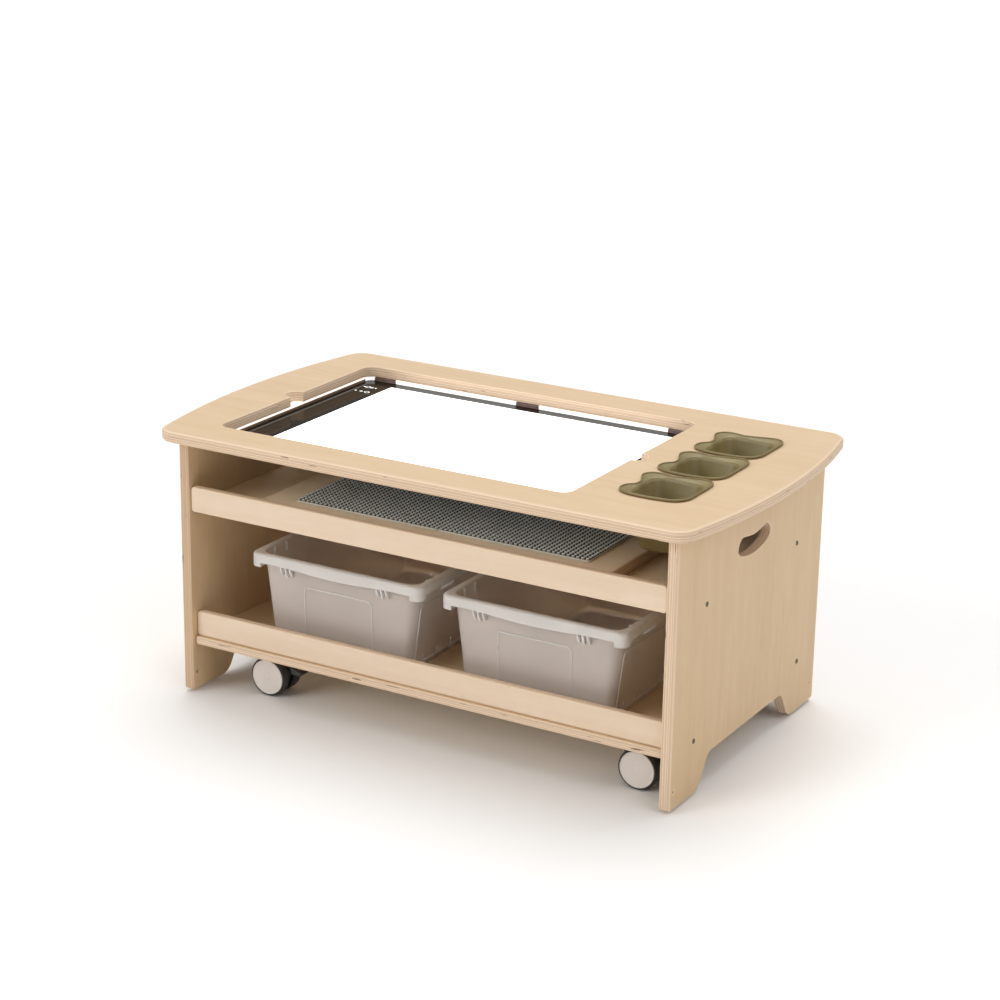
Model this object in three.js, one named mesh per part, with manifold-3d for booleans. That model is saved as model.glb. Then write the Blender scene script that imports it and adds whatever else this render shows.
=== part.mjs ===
// Children's activity table: plywood frame on casters with a light panel under
// an opening in the top, three hanging cups, a stored insert board with
// stud plates, and two storage bins on the lower shelf.
// Units are millimetres. +X runs along the length, +Y to the back, +Z up.
// The origin is on the floor, under the middle of the top.
import * as THREE from 'three';
import { mergeVertices } from 'three/addons/utils/BufferGeometryUtils.js';
import Module from 'manifold-3d';

// ---------------------------------------------------------------- dimensions
const GAP = 0.3;                 // clearance between touching pieces
const FOOT = 5;                  // side panels end this far above the floor

const PLY = 17.7;                // tabletop and side panel sheet
const SHEET = 12.7;              // shelf sheet
const SIDE_X = 430.7;            // outer face of a side panel
const SIDE_Y = 252.9;            // half depth of a side panel
const SIDE_TOP = 420.1;          // top edge of a side panel

const TOP_Z0 = 420.4, TOP_Z1 = TOP_Z0 + PLY;
const TOP_X = 482.8;             // half length at the middle of a curved end
const TOP_Y = 282;               // half depth
const TOP_END_K = 4.08e-4;       // curvature of the ends: x = TOP_X - K * y^2
const TOP_CORNER_R = 33;
const OPEN_X0 = -385.2, OPEN_X1 = 230.2, OPEN_Y = 211.8, OPEN_R = 18;
const NOTCH_R = 18;              // finger notches at both ends of the opening

const UPPER_SHELF_TOP = 314, LOWER_SHELF_TOP = 95;
const UPPER_SHELF_Y = 236.9, LOWER_SHELF_Y = 246.9;
const RAIL_H = 41, RAIL_T = 12.2;
const UPPER_RAIL_Y = 249.6, UPPER_RAIL_Z0 = 303.6;
const LOWER_RAIL_Y = 241.2, LOWER_RAIL_Z0 = 95.3;
const CLEAT = [18, 380, 18];     // battens under the upper shelf

const ARCH_Z = 53;               // height of the cut-out between the feet

const TRAY = { x0: -402, x1: 246, y: 229, z0: 402.6, floor: 2.5, wall: 3, z1: 413.6 };
const TRIM = { z0: 413.9, z1: 420.1, r: 12 };
const PANEL = { x0: -395.4, x1: 233.6, y: 221.5, z0: 405.4, z1: 413.6 };
const WINDOW = { x0: -328.3, x1: 203.4, y: 191.8 };
const CLIP_X = [-353, -77.5, 199.5], CLIP_W = 42;

const BOARD = { x0: -306.6, x1: 304.6, y0: -215, y1: 204, r: 18 };
const STUD_PLATE = { x0: -254.9, x1: 257.1, y: 192, t: 3.2 };

const CUP_X = 337, CUP_Y0 = -114, CUP_PITCH = 122;
const CUP_HOLE = [43.5, 47, 20];        // half width, half depth, corner radius
const CUP_SHIFT = [5.5, -4];            // centre of hole and body from the lip's own centre
const CUP_FOOT = [30, 37, 15];
const CUP_TOP = 443, CUP_DEPTH = 90;
const CUP_LIP_PLAN = [[-54,-40],[-52,-25],[-43,-14],[-42,2],[-49,18],[-54,34],[-46,48],[-30,51],
  [-10,48],[14,53],[38,58],[52,51],[56,34],[56,0],[55,-34],[42,-53],[16,-59],[-8,-60],[-32,-58],[-47,-51]];

const BIN_X = [-169, 178], BIN_Y = -3.5;
const BIN_RIM = [156, 213.5, 13], BIN_TOP_WALL = [144, 203.5, 20], BIN_FOOT = [126, 198, 16];
const BIN_Z0 = 95.3, BIN_Z1 = 245, BIN_WALL = 2.2, BIN_SKIRT = 19;

const CASTER_X = 329, CASTER_Y = 175, CASTER_TOP = 81.9;
const WHEEL_R = 32, WHEEL_W = 17, WHEEL_IN = 8, TRAIL = 21;
const AXLE_R = 3.9, HUB_R = 4.2;

const SCREWS = [[157, 293], [182, 90.5]]; // y, z of the screws in a side panel
// ---------------------------------------------------------------- materials
const mat = (hex, roughness, metalness = 0) => new THREE.MeshStandardMaterial({ color: hex, roughness, metalness });
const PLYWOOD = () => mat(0xe7cfae, 0.55);
const BLACK = () => mat(0x322820, 0.3);
const WHITE = () => mat(0xf4f2ee, 0.4);
const OLIVE = () => mat(0x968c69, 0.5);
const CLEAR = () => mat(0xd7cdc3, 0.35);
const DARK = () => mat(0x3c3734, 0.6);
const DISC = () => mat(0xc8beb4, 0.45);
const GREY = () => mat(0xa8a8a2, 0.45);
const STEEL = () => mat(0xa8a39a, 0.35, 0.9);

// ---------------------------------------------------------------- helpers
const wasm = await Module();
wasm.setup();

function solid(geometry) {
  let g = geometry.clone();
  for (const name of Object.keys(g.attributes)) if (name !== 'position') g.deleteAttribute(name);
  g = mergeVertices(g, 1e-4);
  return new wasm.Manifold(new wasm.Mesh({
    numProp: 3,
    vertProperties: new Float32Array(g.attributes.position.array),
    triVerts: new Uint32Array(g.index.array),
  }));
}
function geometryOf(manifold) {
  const m = manifold.getMesh();
  const g = new THREE.BufferGeometry();
  g.setAttribute('position', new THREE.BufferAttribute(new Float32Array(m.vertProperties), 3));
  g.setIndex(new THREE.BufferAttribute(new Uint32Array(m.triVerts), 1));
  return g;
}
const union = (...gs) => geometryOf(gs.map(solid).reduce((a, b) => a.add(b)));
const cut = (g, ...tools) => geometryOf(tools.map(solid).reduce((a, b) => a.subtract(b), solid(g)));

function box(x0, x1, y0, y1, z0, z1) {
  const g = new THREE.BoxGeometry(x1 - x0, y1 - y0, z1 - z0);
  g.translate((x0 + x1) / 2, (y0 + y1) / 2, (z0 + z1) / 2);
  return g;
}
// points round a rectangle with rounded corners, counter-clockwise
function roundRect(hx, hy, r, n = 6, cx = 0, cy = 0) {
  const pts = [];
  const corners = [[hx - r, hy - r, 0], [-hx + r, hy - r, 90], [-hx + r, -hy + r, 180], [hx - r, -hy + r, 270]];
  for (const [x, y, a0] of corners) for (let i = 0; i <= n; i++) {
    const a = THREE.MathUtils.degToRad(a0 + 90 * i / n);
    pts.push(new THREE.Vector2(cx + x + r * Math.cos(a), cy + y + r * Math.sin(a)));
  }
  return pts;
}
// rounds each corner i of a polygon by radii[i]
function filletPoly(pts, radii, n = 6) {
  const out = [];
  for (let i = 0; i < pts.length; i++) {
    const p = pts[i], a = pts[(i + pts.length - 1) % pts.length], b = pts[(i + 1) % pts.length], r = radii[i] || 0;
    if (!r) { out.push(new THREE.Vector2(p[0], p[1])); continue; }
    const P = new THREE.Vector2(...p), u = new THREE.Vector2(...a).sub(P).normalize(), v = new THREE.Vector2(...b).sub(P).normalize();
    const half = Math.acos(THREE.MathUtils.clamp(u.dot(v), -1, 1)) / 2, t = r / Math.tan(half);
    const A = P.clone().addScaledVector(u, t), B = P.clone().addScaledVector(v, t);
    const C = P.clone().addScaledVector(u.clone().add(v).normalize(), r / Math.sin(half));
    let a0 = Math.atan2(A.y - C.y, A.x - C.x), a1 = Math.atan2(B.y - C.y, B.x - C.x);
    if (a1 - a0 > Math.PI) a1 -= 2 * Math.PI;
    if (a1 - a0 < -Math.PI) a1 += 2 * Math.PI;
    for (let k = 0; k <= n; k++) {
      const q = a0 + (a1 - a0) * k / n;
      out.push(new THREE.Vector2(C.x + r * Math.cos(q), C.y + r * Math.sin(q)));
    }
  }
  return out;
}
// plate from an outline, with holes and an eased arris, from z0 to z1
function plate(points, z0, z1, { holes = [], ease = 0, steps = 2 } = {}) {
  const shape = new THREE.Shape(points);
  for (const h of holes) shape.holes.push(new THREE.Path(h));
  const g = new THREE.ExtrudeGeometry(shape, ease
    ? { depth: z1 - z0 - 2 * ease, bevelEnabled: true, bevelThickness: ease, bevelSize: ease, bevelOffset: -ease, bevelSegments: steps }
    : { depth: z1 - z0, bevelEnabled: false });
  g.translate(0, 0, z0 + ease);
  return g;
}
// local x, y, z of an upright outline become world Y, Z, X
const UPRIGHT_X = new THREE.Matrix4().makeBasis(new THREE.Vector3(0, 1, 0), new THREE.Vector3(0, 0, 1), new THREE.Vector3(1, 0, 0));
// local x, y, z become world X, Z, -Y
const UPRIGHT_Y = new THREE.Matrix4().makeBasis(new THREE.Vector3(1, 0, 0), new THREE.Vector3(0, 0, 1), new THREE.Vector3(0, -1, 0));

// closed skin through rings of equal point count, capped at both ends
function rings(list) {
  const n = list[0].pts.length, pos = [], idx = [];
  for (const { pts, z } of list) pts.forEach((p, i) => pos.push(p.x, p.y, Array.isArray(z) ? z[i] : z));
  for (let k = 0; k + 1 < list.length; k++) for (let i = 0; i < n; i++) {
    const a = k * n + i, b = k * n + (i + 1) % n, c = a + n, d = b + n;
    idx.push(a, b, d, a, d, c);
  }
  const cap = (k, flip) => {
    const c = pos.length / 3, ring = list[k];
    const mx = ring.pts.reduce((s, p) => s + p.x, 0) / n, my = ring.pts.reduce((s, p) => s + p.y, 0) / n;
    pos.push(mx, my, ring.z);
    for (let i = 0; i < n; i++) {
      const a = k * n + i, b = k * n + (i + 1) % n;
      flip ? idx.push(c, b, a) : idx.push(c, a, b);
    }
  };
  cap(0, true);
  cap(list.length - 1, false);
  const g = new THREE.BufferGeometry();
  g.setAttribute('position', new THREE.BufferAttribute(new Float32Array(pos), 3));
  g.setIndex(idx);
  return g;
}
function cylinderY(r, y0, y1, x, z, n = 24) {
  const g = new THREE.CylinderGeometry(r, r, y1 - y0, n);
  g.translate(x, (y0 + y1) / 2, z);
  return g;
}
function cylinderZ(r, z0, z1, x, y, n = 24) {
  const g = new THREE.CylinderGeometry(r, r, z1 - z0, n);
  g.rotateX(Math.PI / 2);
  g.translate(x, y, (z0 + z1) / 2);
  return g;
}

const group = new THREE.Group();
function add(name, geometry, material, parent = group) {
  const g = geometry.index ? geometry.toNonIndexed() : geometry;
  g.computeVertexNormals();
  const mesh = new THREE.Mesh(g, material);
  mesh.name = name;
  parent.add(mesh);
  return mesh;
}

// ---------------------------------------------------------------- tabletop
{
  const end = [];
  const N = 10;
  for (let i = 0; i <= N; i++) {
    const y = -TOP_Y + 2 * TOP_Y * i / N;
    end.push([TOP_X - TOP_END_K * y * y, y]);
  }
  const poly = [...end, ...end.map(([x, y]) => [-x, -y])];
  const radii = poly.map((p, i) => (i === 0 || i === N || i === N + 1 || i === 2 * N + 1) ? TOP_CORNER_R : 0);
  const outline = filletPoly(poly, radii, 6);

  const cx = (OPEN_X0 + OPEN_X1) / 2, hx = (OPEN_X1 - OPEN_X0) / 2;
  const opening = [];
  const rect = roundRect(hx, OPEN_Y, OPEN_R, 4, cx, 0);
  rect.forEach((p, i) => {
    opening.push(p);
    if (i === 9) for (let k = 0; k <= 8; k++) {             // left end, going down
      const a = Math.PI / 2 + Math.PI * k / 8;
      opening.push(new THREE.Vector2(OPEN_X0 + NOTCH_R * Math.cos(a) - 0.01, NOTCH_R * Math.sin(a)));
    }
    if (i === 19) for (let k = 0; k <= 8; k++) {            // right end, going up
      const a = -Math.PI / 2 + Math.PI * k / 8;
      opening.push(new THREE.Vector2(OPEN_X1 + NOTCH_R * Math.cos(a) + 0.01, NOTCH_R * Math.sin(a)));
    }
  });
  const holes = [opening];
  for (let i = 0; i < 3; i++) holes.push(roundRect(...CUP_HOLE, 3, CUP_X + CUP_SHIFT[0], CUP_Y0 + i * CUP_PITCH + CUP_SHIFT[1]));
  add('tabletop', plate(outline, TOP_Z0, TOP_Z1, { holes, ease: 3, steps: 1 }), PLYWOOD());
}

// ---------------------------------------------------------------- side panels
{
  const half = [[175, FOOT], [172, FOOT + 1], [161, FOOT + 5], [153, FOOT + 14], [143, FOOT + 26], [136, FOOT + 37], [131, FOOT + 44], [122, ARCH_Z - 0.7], [109, ARCH_Z]];
  const outline = filletPoly([
    [-SIDE_Y, FOOT], ...half.map(([y, z]) => [-y, z]), ...half.slice().reverse(), [SIDE_Y, FOOT],
    [SIDE_Y, SIDE_TOP], [-SIDE_Y, SIDE_TOP]],
    [4, ...Array(18).fill(0), 4, 0, 0], 3);
  const slotTop = [[52, 352.5], [43, 358.5], [34, 358], [20, 355.5], [0, 353.6], [-20, 355.5], [-34, 358], [-43, 358.5], [-52, 352.5], [-56, 344.5]];
  const slotBottom = [[-52.5, 336.5], [-38, 330], [-18, 326.2], [0, 325], [18, 326.2], [38, 330], [52.5, 336.5], [56, 344.5]];
  const slot = [...slotTop, ...slotBottom].map(([y, z]) => new THREE.Vector2(y, z));
  for (const [name, x0] of [['side_panel_left', -SIDE_X], ['side_panel_right', SIDE_X - PLY]]) {
    const g = plate(outline, 0, PLY, { holes: [slot], ease: 1.6, steps: 1 });
    g.applyMatrix4(UPRIGHT_X);
    g.translate(x0, 0, 0);
    add(name, g, PLYWOOD());
  }
  for (const [side, s] of [['left', -1], ['right', 1]]) {
    let k = 0;
    for (const [y, z] of SCREWS) for (const t of [-1, 1]) {
      const g = new THREE.LatheGeometry([[0, 0], [4, 0], [4, 0.5], [3.2, 1], [0, 1.15]].map((p) => new THREE.Vector2(...p)), 12);
      g.rotateZ(-Math.PI / 2 * s);
      g.translate(s * (SIDE_X + GAP), t * y, z);
      add(`screw_${side}_${['upper', 'lower'][k >> 1]}_${['front', 'back'][k & 1]}`, g, STEEL());
      k++;
    }
  }
}

// ---------------------------------------------------------------- shelves and rails
const INNER_X = SIDE_X - PLY - GAP;
function easedBox(x0, x1, y0, y1, z0, z1, ease = 1.2, r = 2) {
  return plate(roundRect((x1 - x0) / 2, (y1 - y0) / 2, r, 1, (x0 + x1) / 2, (y0 + y1) / 2), z0, z1, { ease, steps: 1 });
}
add('upper_shelf', easedBox(-INNER_X, INNER_X, -UPPER_SHELF_Y, UPPER_SHELF_Y, UPPER_SHELF_TOP - SHEET, UPPER_SHELF_TOP, 0.6, 0.8), PLYWOOD());
add('lower_shelf', easedBox(-INNER_X, INNER_X, -LOWER_SHELF_Y, LOWER_SHELF_Y, LOWER_SHELF_TOP - SHEET, LOWER_SHELF_TOP, 1.2, 4), PLYWOOD());
for (const [name, y, z0] of [['upper_rail', UPPER_RAIL_Y, UPPER_RAIL_Z0], ['lower_rail', LOWER_RAIL_Y, LOWER_RAIL_Z0]]) {
  const outline = filletPoly([[-INNER_X, z0], [INNER_X, z0], [INNER_X, z0 + RAIL_H], [-INNER_X, z0 + RAIL_H]], [5, 5, 6, 6], 3);
  for (const [side, face] of [['front', -y + RAIL_T], ['back', y]]) {
    const g = plate(outline, 0, RAIL_T, { ease: 1.8, steps: 1 });
    g.applyMatrix4(UPRIGHT_Y);
    g.translate(0, face, 0);
    add(`${name}_${side}`, g, PLYWOOD());
  }
}
for (const [name, s] of [['shelf_cleat_left', -1], ['shelf_cleat_right', 1]]) {
  const x = s * (INNER_X - CLEAT[0] / 2), z = UPPER_SHELF_TOP - SHEET - GAP;
  add(name, easedBox(x - CLEAT[0] / 2, x + CLEAT[0] / 2, -CLEAT[1] / 2, CLEAT[1] / 2, z - CLEAT[2], z, 1, 1), PLYWOOD());
}

// ---------------------------------------------------------------- light panel
{
  const t = TRAY, cx = (t.x0 + t.x1) / 2, hx = (t.x1 - t.x0) / 2;
  const outer = plate(roundRect(hx, t.y, 10, 3, cx, 0), t.z0, t.z1);
  const inner = plate(roundRect(hx - t.wall, t.y - t.wall, 7, 3, cx, 0), t.z0 + t.floor, t.z1 + 5);
  add('light_tray', cut(outer, inner), WHITE());

  const p = PANEL, pcx = (p.x0 + p.x1) / 2, phx = (p.x1 - p.x0) / 2;
  const w = WINDOW, wcx = (w.x0 + w.x1) / 2, whx = (w.x1 - w.x0) / 2;
  add('light_housing', plate(roundRect(phx, p.y, 8, 4, pcx, 0), p.z0, p.z0 + 4, { ease: 1, steps: 1 }), DARK());
  add('light_diffuser', union(
    plate(roundRect(phx - 3, p.y - 3, 6, 4, pcx, 0), p.z0 + 4.3, p.z0 + 5.8),
    plate(roundRect(whx - GAP, w.y - GAP, 3, 2, wcx, 0), p.z0 + 5.6, p.z1)), WHITE());
  add('light_bezel', plate(roundRect(phx, p.y, 8, 4, pcx, 0), p.z0 + 6.1, p.z1, { holes: [roundRect(whx, w.y, 3, 2, wcx, 0)] }), BLACK());

  // trim ring between the tabletop and the panel, with a pocket for each clip
  const trim = plate(roundRect(hx, t.y, 10, 3, cx, 0), TRIM.z0, TRIM.z1, { holes: [roundRect((OPEN_X1 - OPEN_X0) / 2, OPEN_Y, TRIM.r, 4, (OPEN_X0 + OPEN_X1) / 2, 0)] });
  const pockets = CLIP_X.map((x) => plate(roundRect(CLIP_W / 2 + GAP, 6, 0.6, 1, x, OPEN_Y + 3.6), TRIM.z0 - 1, TRIM.z1 + 1));
  add('light_trim', cut(trim, ...pockets), WHITE());

  // clips: a block in the trim's pocket with a nose over the panel's edge
  const clip = filletPoly([[OPEN_Y - 2.4, TRIM.z0], [OPEN_Y + 9.3, TRIM.z0], [OPEN_Y + 9.3, TRIM.z1], [OPEN_Y - 0.8, TRIM.z1], [OPEN_Y - 1, TRIM.z0 + 2.3], [OPEN_Y - 2.4, TRIM.z0 + 1.5]],
    [0.3, 0, 0.5, 0.5, 0, 0.3], 1);
  ['left', 'middle', 'right'].forEach((side, i) => {
    const g = plate(clip, 0, CLIP_W);
    g.applyMatrix4(UPRIGHT_X);
    g.translate(CLIP_X[i] - CLIP_W / 2, 0, 0);
    add(`panel_clip_${side}`, g, BLACK());
  });

  // power socket at the panel's right edge, out of sight under the top
  const sz = p.z0 + 3.3, sx = p.x1 + GAP;
  const socket = plate(roundRect(7, 3.1, 1.2, 2, 120, sz), 0, 8);
  socket.applyMatrix4(UPRIGHT_X);
  socket.translate(sx, 0, 0);
  const bore = cylinderZ(1.9, 3, 20, 0, 0, 12);
  bore.rotateY(Math.PI / 2);
  bore.translate(sx, 120, sz);
  add('power_inlet', cut(socket, bore), DARK());
}

// ---------------------------------------------------------------- insert board and stud plates
{
  const b = BOARD, z0 = UPPER_SHELF_TOP + GAP, z1 = z0 + PLY;
  add('insert_board', plate(roundRect((b.x1 - b.x0) / 2, (b.y1 - b.y0) / 2, b.r, 4, (b.x0 + b.x1) / 2, (b.y0 + b.y1) / 2), z0, z1, { ease: 2, steps: 1 }), PLYWOOD());
  const s = STUD_PLATE, mid = (s.x0 + s.x1) / 2;
  for (const [name, x0, x1] of [['brick_plate_left', s.x0, mid - GAP / 2], ['brick_plate_right', mid + GAP / 2, s.x1]])
    add(name, plate(roundRect((x1 - x0) / 2, s.y, 3, 3, (x0 + x1) / 2, 0), z1 + GAP, z1 + GAP + s.t), GREY());
}

// ---------------------------------------------------------------- cups
{
  const N = 28;
  const curve = new THREE.CatmullRomCurve3(CUP_LIP_PLAN.map(([x, y]) => new THREE.Vector3(x, y, 0)), true, 'centripetal');
  const lip = curve.getSpacedPoints(N).slice(0, N).reverse();
  if (THREE.ShapeUtils.area(lip) < 0) lip.reverse();
  const scaled = (d) => lip.map((p) => { const l = Math.hypot(p.x, p.y); return new THREE.Vector2(p.x * (l - d) / l, p.y * (l - d) / l); });
  // rounded rectangle met along the same directions as the lip's points
  const along = (hx, hy, r) => lip.map((p) => {
    const a = Math.atan2(p.y, p.x), c = Math.cos(a), s = Math.sin(a);
    let lo = 0, hi = 200;
    for (let k = 0; k < 40; k++) {
      const m = (lo + hi) / 2, x = Math.abs(m * c - CUP_SHIFT[0]), y = Math.abs(m * s - CUP_SHIFT[1]);
      const dx = Math.max(x - (hx - r), 0), dy = Math.max(y - (hy - r), 0);
      (x <= hx && y <= hy && Math.hypot(dx, dy) <= r) ? lo = m : hi = m;
    }
    return new THREE.Vector2(lo * c, lo * s);
  });
  const z = CUP_TOP, under = TOP_Z1 + GAP;
  const [fx, fy, fr] = CUP_FOOT;
  const g = rings([
    { pts: along(fx, fy, fr), z: z - CUP_DEPTH },
    { pts: along(fx + 0.9, fy + 0.9, fr + 1), z: z - CUP_DEPTH + 3 },
    { pts: along(42.9, 46.4, 19.4), z: under },
    { pts: scaled(0.6), z: under },
    { pts: scaled(0), z: z - 1 },
    { pts: scaled(1.2), z },
    { pts: scaled(2.8), z: z - 0.2 },
    { pts: along(40.5, 44, 17), z: under + 0.4 },
    { pts: along(fx - 1.6, fy - 1.6, fr - 1), z: z - CUP_DEPTH + 5 },
    { pts: along(fx - 4, fy - 4, fr - 3), z: z - CUP_DEPTH + 2.6 },
  ]);
  ['front', 'middle', 'back'].forEach((name, i) => {
    const mesh = add(`cup_${name}`, g.clone(), OLIVE());
    mesh.position.set(CUP_X, CUP_Y0 + i * CUP_PITCH, 0);
  });
}

// ---------------------------------------------------------------- bins
{
  const rr = ([hx, hy, r], d = 0) => roundRect(hx - d, hy - d, Math.max(r - d, 2), 4);
  const w = BIN_WALL, z0 = BIN_Z0, z1 = BIN_Z1;
  const g = rings([
    { pts: rr(BIN_FOOT), z: z0 },
    { pts: rr(BIN_TOP_WALL), z: z1 - 4 },
    { pts: rr(BIN_RIM, w), z: z1 - 4 },
    { pts: rr(BIN_RIM, w), z: z1 - BIN_SKIRT },
    { pts: rr(BIN_RIM), z: z1 - BIN_SKIRT },
    { pts: rr(BIN_RIM), z: z1 - 1 },
    { pts: rr(BIN_RIM, 1), z: z1 },
    { pts: rr(BIN_TOP_WALL, w), z: z1 },
    { pts: rr(BIN_FOOT, w + 1), z: z0 + 2.6 },
  ]);
  ['left', 'right'].forEach((name, i) => {
    const mesh = add(`bin_${name}`, g.clone(), CLEAR());
    mesh.position.set(BIN_X[i], BIN_Y, 0);
  });
}

// ---------------------------------------------------------------- casters
{
  const plateTop = CASTER_TOP, stem = 5.5, cz = WHEEL_R, cx = TRAIL;
  const mount = union(
    plate(roundRect(25, 25, 6, 2), plateTop - 2.6, plateTop),
    cylinderZ(9, plateTop - 5, plateTop - 1, 0, 0, 12),
    cylinderZ(stem, 56, plateTop - 1, 0, 0, 12));

  // web between the wheels, rising to a round boss over the stem
  const web = filletPoly([[cx - 17, 10], [cx + 17, 10], [cx + 25, 30], [cx + 21, 50], [cx + 12, 60], [6, 72], [-9, 72], [-13, 66], [-13, 54], [-4, 36], [-2, 24]],
    [8, 8, 8, 6, 6, 4, 3, 3, 8, 8, 8], 1);
  const webSolid = plate(web, -6.8, 6.8);
  webSolid.applyMatrix4(UPRIGHT_Y);
  const hood = cut(union(webSolid, cylinderZ(13, 50, 75.6, 0, 0, 16)),
    cylinderZ(stem + GAP, 54, 90, 0, 0, 12), cylinderY(HUB_R, -30, 30, cx, cz, 12),
    cut(box(-14.5, 14.5, -14, 14, 40, 64.2), box(-14.5, 14.5, -6.8, 6.8, 39, 65)));

  const axle = cylinderY(AXLE_R, -(WHEEL_IN + WHEEL_W - 3), WHEEL_IN + WHEEL_W - 3, cx, cz, 12);

  const section = [[HUB_R, 0], [29, 0], [WHEEL_R, 4], [WHEEL_R, WHEEL_W - 4], [29, WHEEL_W], [HUB_R, WHEEL_W], [HUB_R, 0]];
  const wheel = (side) => {
    const g = new THREE.LatheGeometry(section.map(([r, h]) => new THREE.Vector2(r, h)), 24);
    if (side < 0) g.rotateX(Math.PI);
    g.translate(cx, side * WHEEL_IN, cz);
    return g;
  };

  const arm = filletPoly([[cx + 26.4, 44], [cx + 33, 42], [75, 40], [79.5, 44], [79.5, 47.5], [70, 50.5], [cx + 36, 53.5], [cx + 23, 53.4], [cx + 23, 50.6]], [1, 0, 2, 2, 2, 0, 3, 1, 1], 1);
  const pedalCore = plate(arm, -6.6, 6.6);
  pedalCore.applyMatrix4(UPRIGHT_Y);
  const toe = filletPoly([[cx + 37, 42], [75, 40], [79, 44], [79, 47.5], [70, 50.3], [cx + 38, 53]], [1, 2, 2, 2, 0, 2], 1);
  const toeWide = plate(toe, -15, 15);
  toeWide.applyMatrix4(UPRIGHT_Y);
  const pedal = union(pedalCore, toeWide);

  const places = { front_left: [-1, -1], front_right: [1, -1], back_left: [-1, 1], back_right: [1, 1] };
  for (const [where, [sx, sy]] of Object.entries(places)) {
    const caster = new THREE.Group();
    caster.position.set(sx * CASTER_X, sy * CASTER_Y, 0);
    group.add(caster);
    add(`caster_plate_${where}`, mount.clone(), STEEL(), caster);
    add(`caster_hood_${where}`, hood.clone(), DARK(), caster);
    add(`caster_axle_${where}`, axle.clone(), STEEL(), caster);
    add(`wheel_outer_${where}`, wheel(-1), DISC(), caster);
    add(`wheel_inner_${where}`, wheel(1), DISC(), caster);
    add(`brake_pedal_${where}`, pedal.clone(), DARK(), caster);
  }
}

export default group;
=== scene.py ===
import math
import random

import bmesh
import bpy
from mathutils import Matrix, Vector


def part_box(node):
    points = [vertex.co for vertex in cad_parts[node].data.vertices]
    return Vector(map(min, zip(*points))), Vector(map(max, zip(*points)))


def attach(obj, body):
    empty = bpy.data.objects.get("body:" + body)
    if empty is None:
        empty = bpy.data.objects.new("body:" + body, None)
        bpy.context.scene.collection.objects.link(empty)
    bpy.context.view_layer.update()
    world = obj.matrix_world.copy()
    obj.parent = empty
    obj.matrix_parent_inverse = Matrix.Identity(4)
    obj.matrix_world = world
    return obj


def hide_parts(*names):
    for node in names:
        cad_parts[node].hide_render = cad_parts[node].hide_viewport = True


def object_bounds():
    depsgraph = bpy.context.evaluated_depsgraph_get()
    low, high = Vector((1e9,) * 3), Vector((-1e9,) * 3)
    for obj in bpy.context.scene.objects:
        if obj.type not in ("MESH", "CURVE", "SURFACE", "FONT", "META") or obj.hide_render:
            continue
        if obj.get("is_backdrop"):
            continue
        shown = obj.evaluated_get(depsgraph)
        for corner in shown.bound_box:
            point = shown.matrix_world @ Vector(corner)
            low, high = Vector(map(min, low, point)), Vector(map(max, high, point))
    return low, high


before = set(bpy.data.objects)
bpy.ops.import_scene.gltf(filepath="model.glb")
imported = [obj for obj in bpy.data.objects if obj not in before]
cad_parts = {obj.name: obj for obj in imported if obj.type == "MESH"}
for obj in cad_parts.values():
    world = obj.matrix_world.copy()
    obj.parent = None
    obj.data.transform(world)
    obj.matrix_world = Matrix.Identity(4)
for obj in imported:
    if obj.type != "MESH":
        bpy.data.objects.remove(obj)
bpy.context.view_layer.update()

random.seed(7)
MM = 0.001
scene = bpy.context.scene

# ------------------------------------------------------------------ sizes (mm, the frame's own axes)
FLOOR_GAP = 5
SIDE_X, SIDE_Y, PLY = 430.7, 252.9, 17.7
TOP_Z0, TOP_Z1 = 420.4, 438.1
OPEN = (-385.2, 230.2, 211.8, 18)
CUP_X, CUP_Y0, CUP_PITCH = 337, -114, 122
CUP_TOP = 443
CUP_DX, CUP_DY = 5.5, -4


# ------------------------------------------------------------------ materials
def tree(name):
    m = bpy.data.materials.new(name)
    m.use_nodes = True
    t = m.node_tree
    bsdf = next(n for n in t.nodes if n.type == "BSDF_PRINCIPLED")
    return m, t, bsdf


def node(t, kind, **kw):
    n = t.nodes.new(kind)
    for k, v in kw.items():
        setattr(n, k, v)
    return n


def link(t, a, b):
    t.links.new(a, b)


def math_node(t, op, a, b=None, c=None, clamp=False):
    n = node(t, "ShaderNodeMath", operation=op, use_clamp=clamp)
    for i, v in enumerate((a, b, c)):
        if v is None:
            continue
        if isinstance(v, (int, float)):
            n.inputs[i].default_value = v
        else:
            link(t, v, n.inputs[i])
    return n.outputs[0]


def mix_colour(t, fac, a, b, mode="MIX"):
    n = node(t, "ShaderNodeMix", data_type="RGBA", blend_type=mode)
    if isinstance(fac, (int, float)):
        n.inputs[0].default_value = fac
    else:
        link(t, fac, n.inputs[0])
    for i, v in ((6, a), (7, b)):
        if isinstance(v, tuple):
            n.inputs[i].default_value = (*v, 1)
        else:
            link(t, v, n.inputs[i])
    return n.outputs[2]


def noise(t, vec, scale=1.0, detail=2.0, rough=0.5, dist=0.0):
    n = node(t, "ShaderNodeTexNoise")
    link(t, vec, n.inputs["Vector"])
    n.inputs["Scale"].default_value = scale
    n.inputs["Detail"].default_value = detail
    n.inputs["Roughness"].default_value = rough
    n.inputs["Distortion"].default_value = dist
    return n.outputs[0]


def remap(t, v, lo, hi, a=0.0, b=1.0):
    n = node(t, "ShaderNodeMapRange")
    link(t, v, n.inputs[0])
    for i, x in enumerate((lo, hi, a, b)):
        n.inputs[i + 1].default_value = x
    return n.outputs[0]


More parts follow.
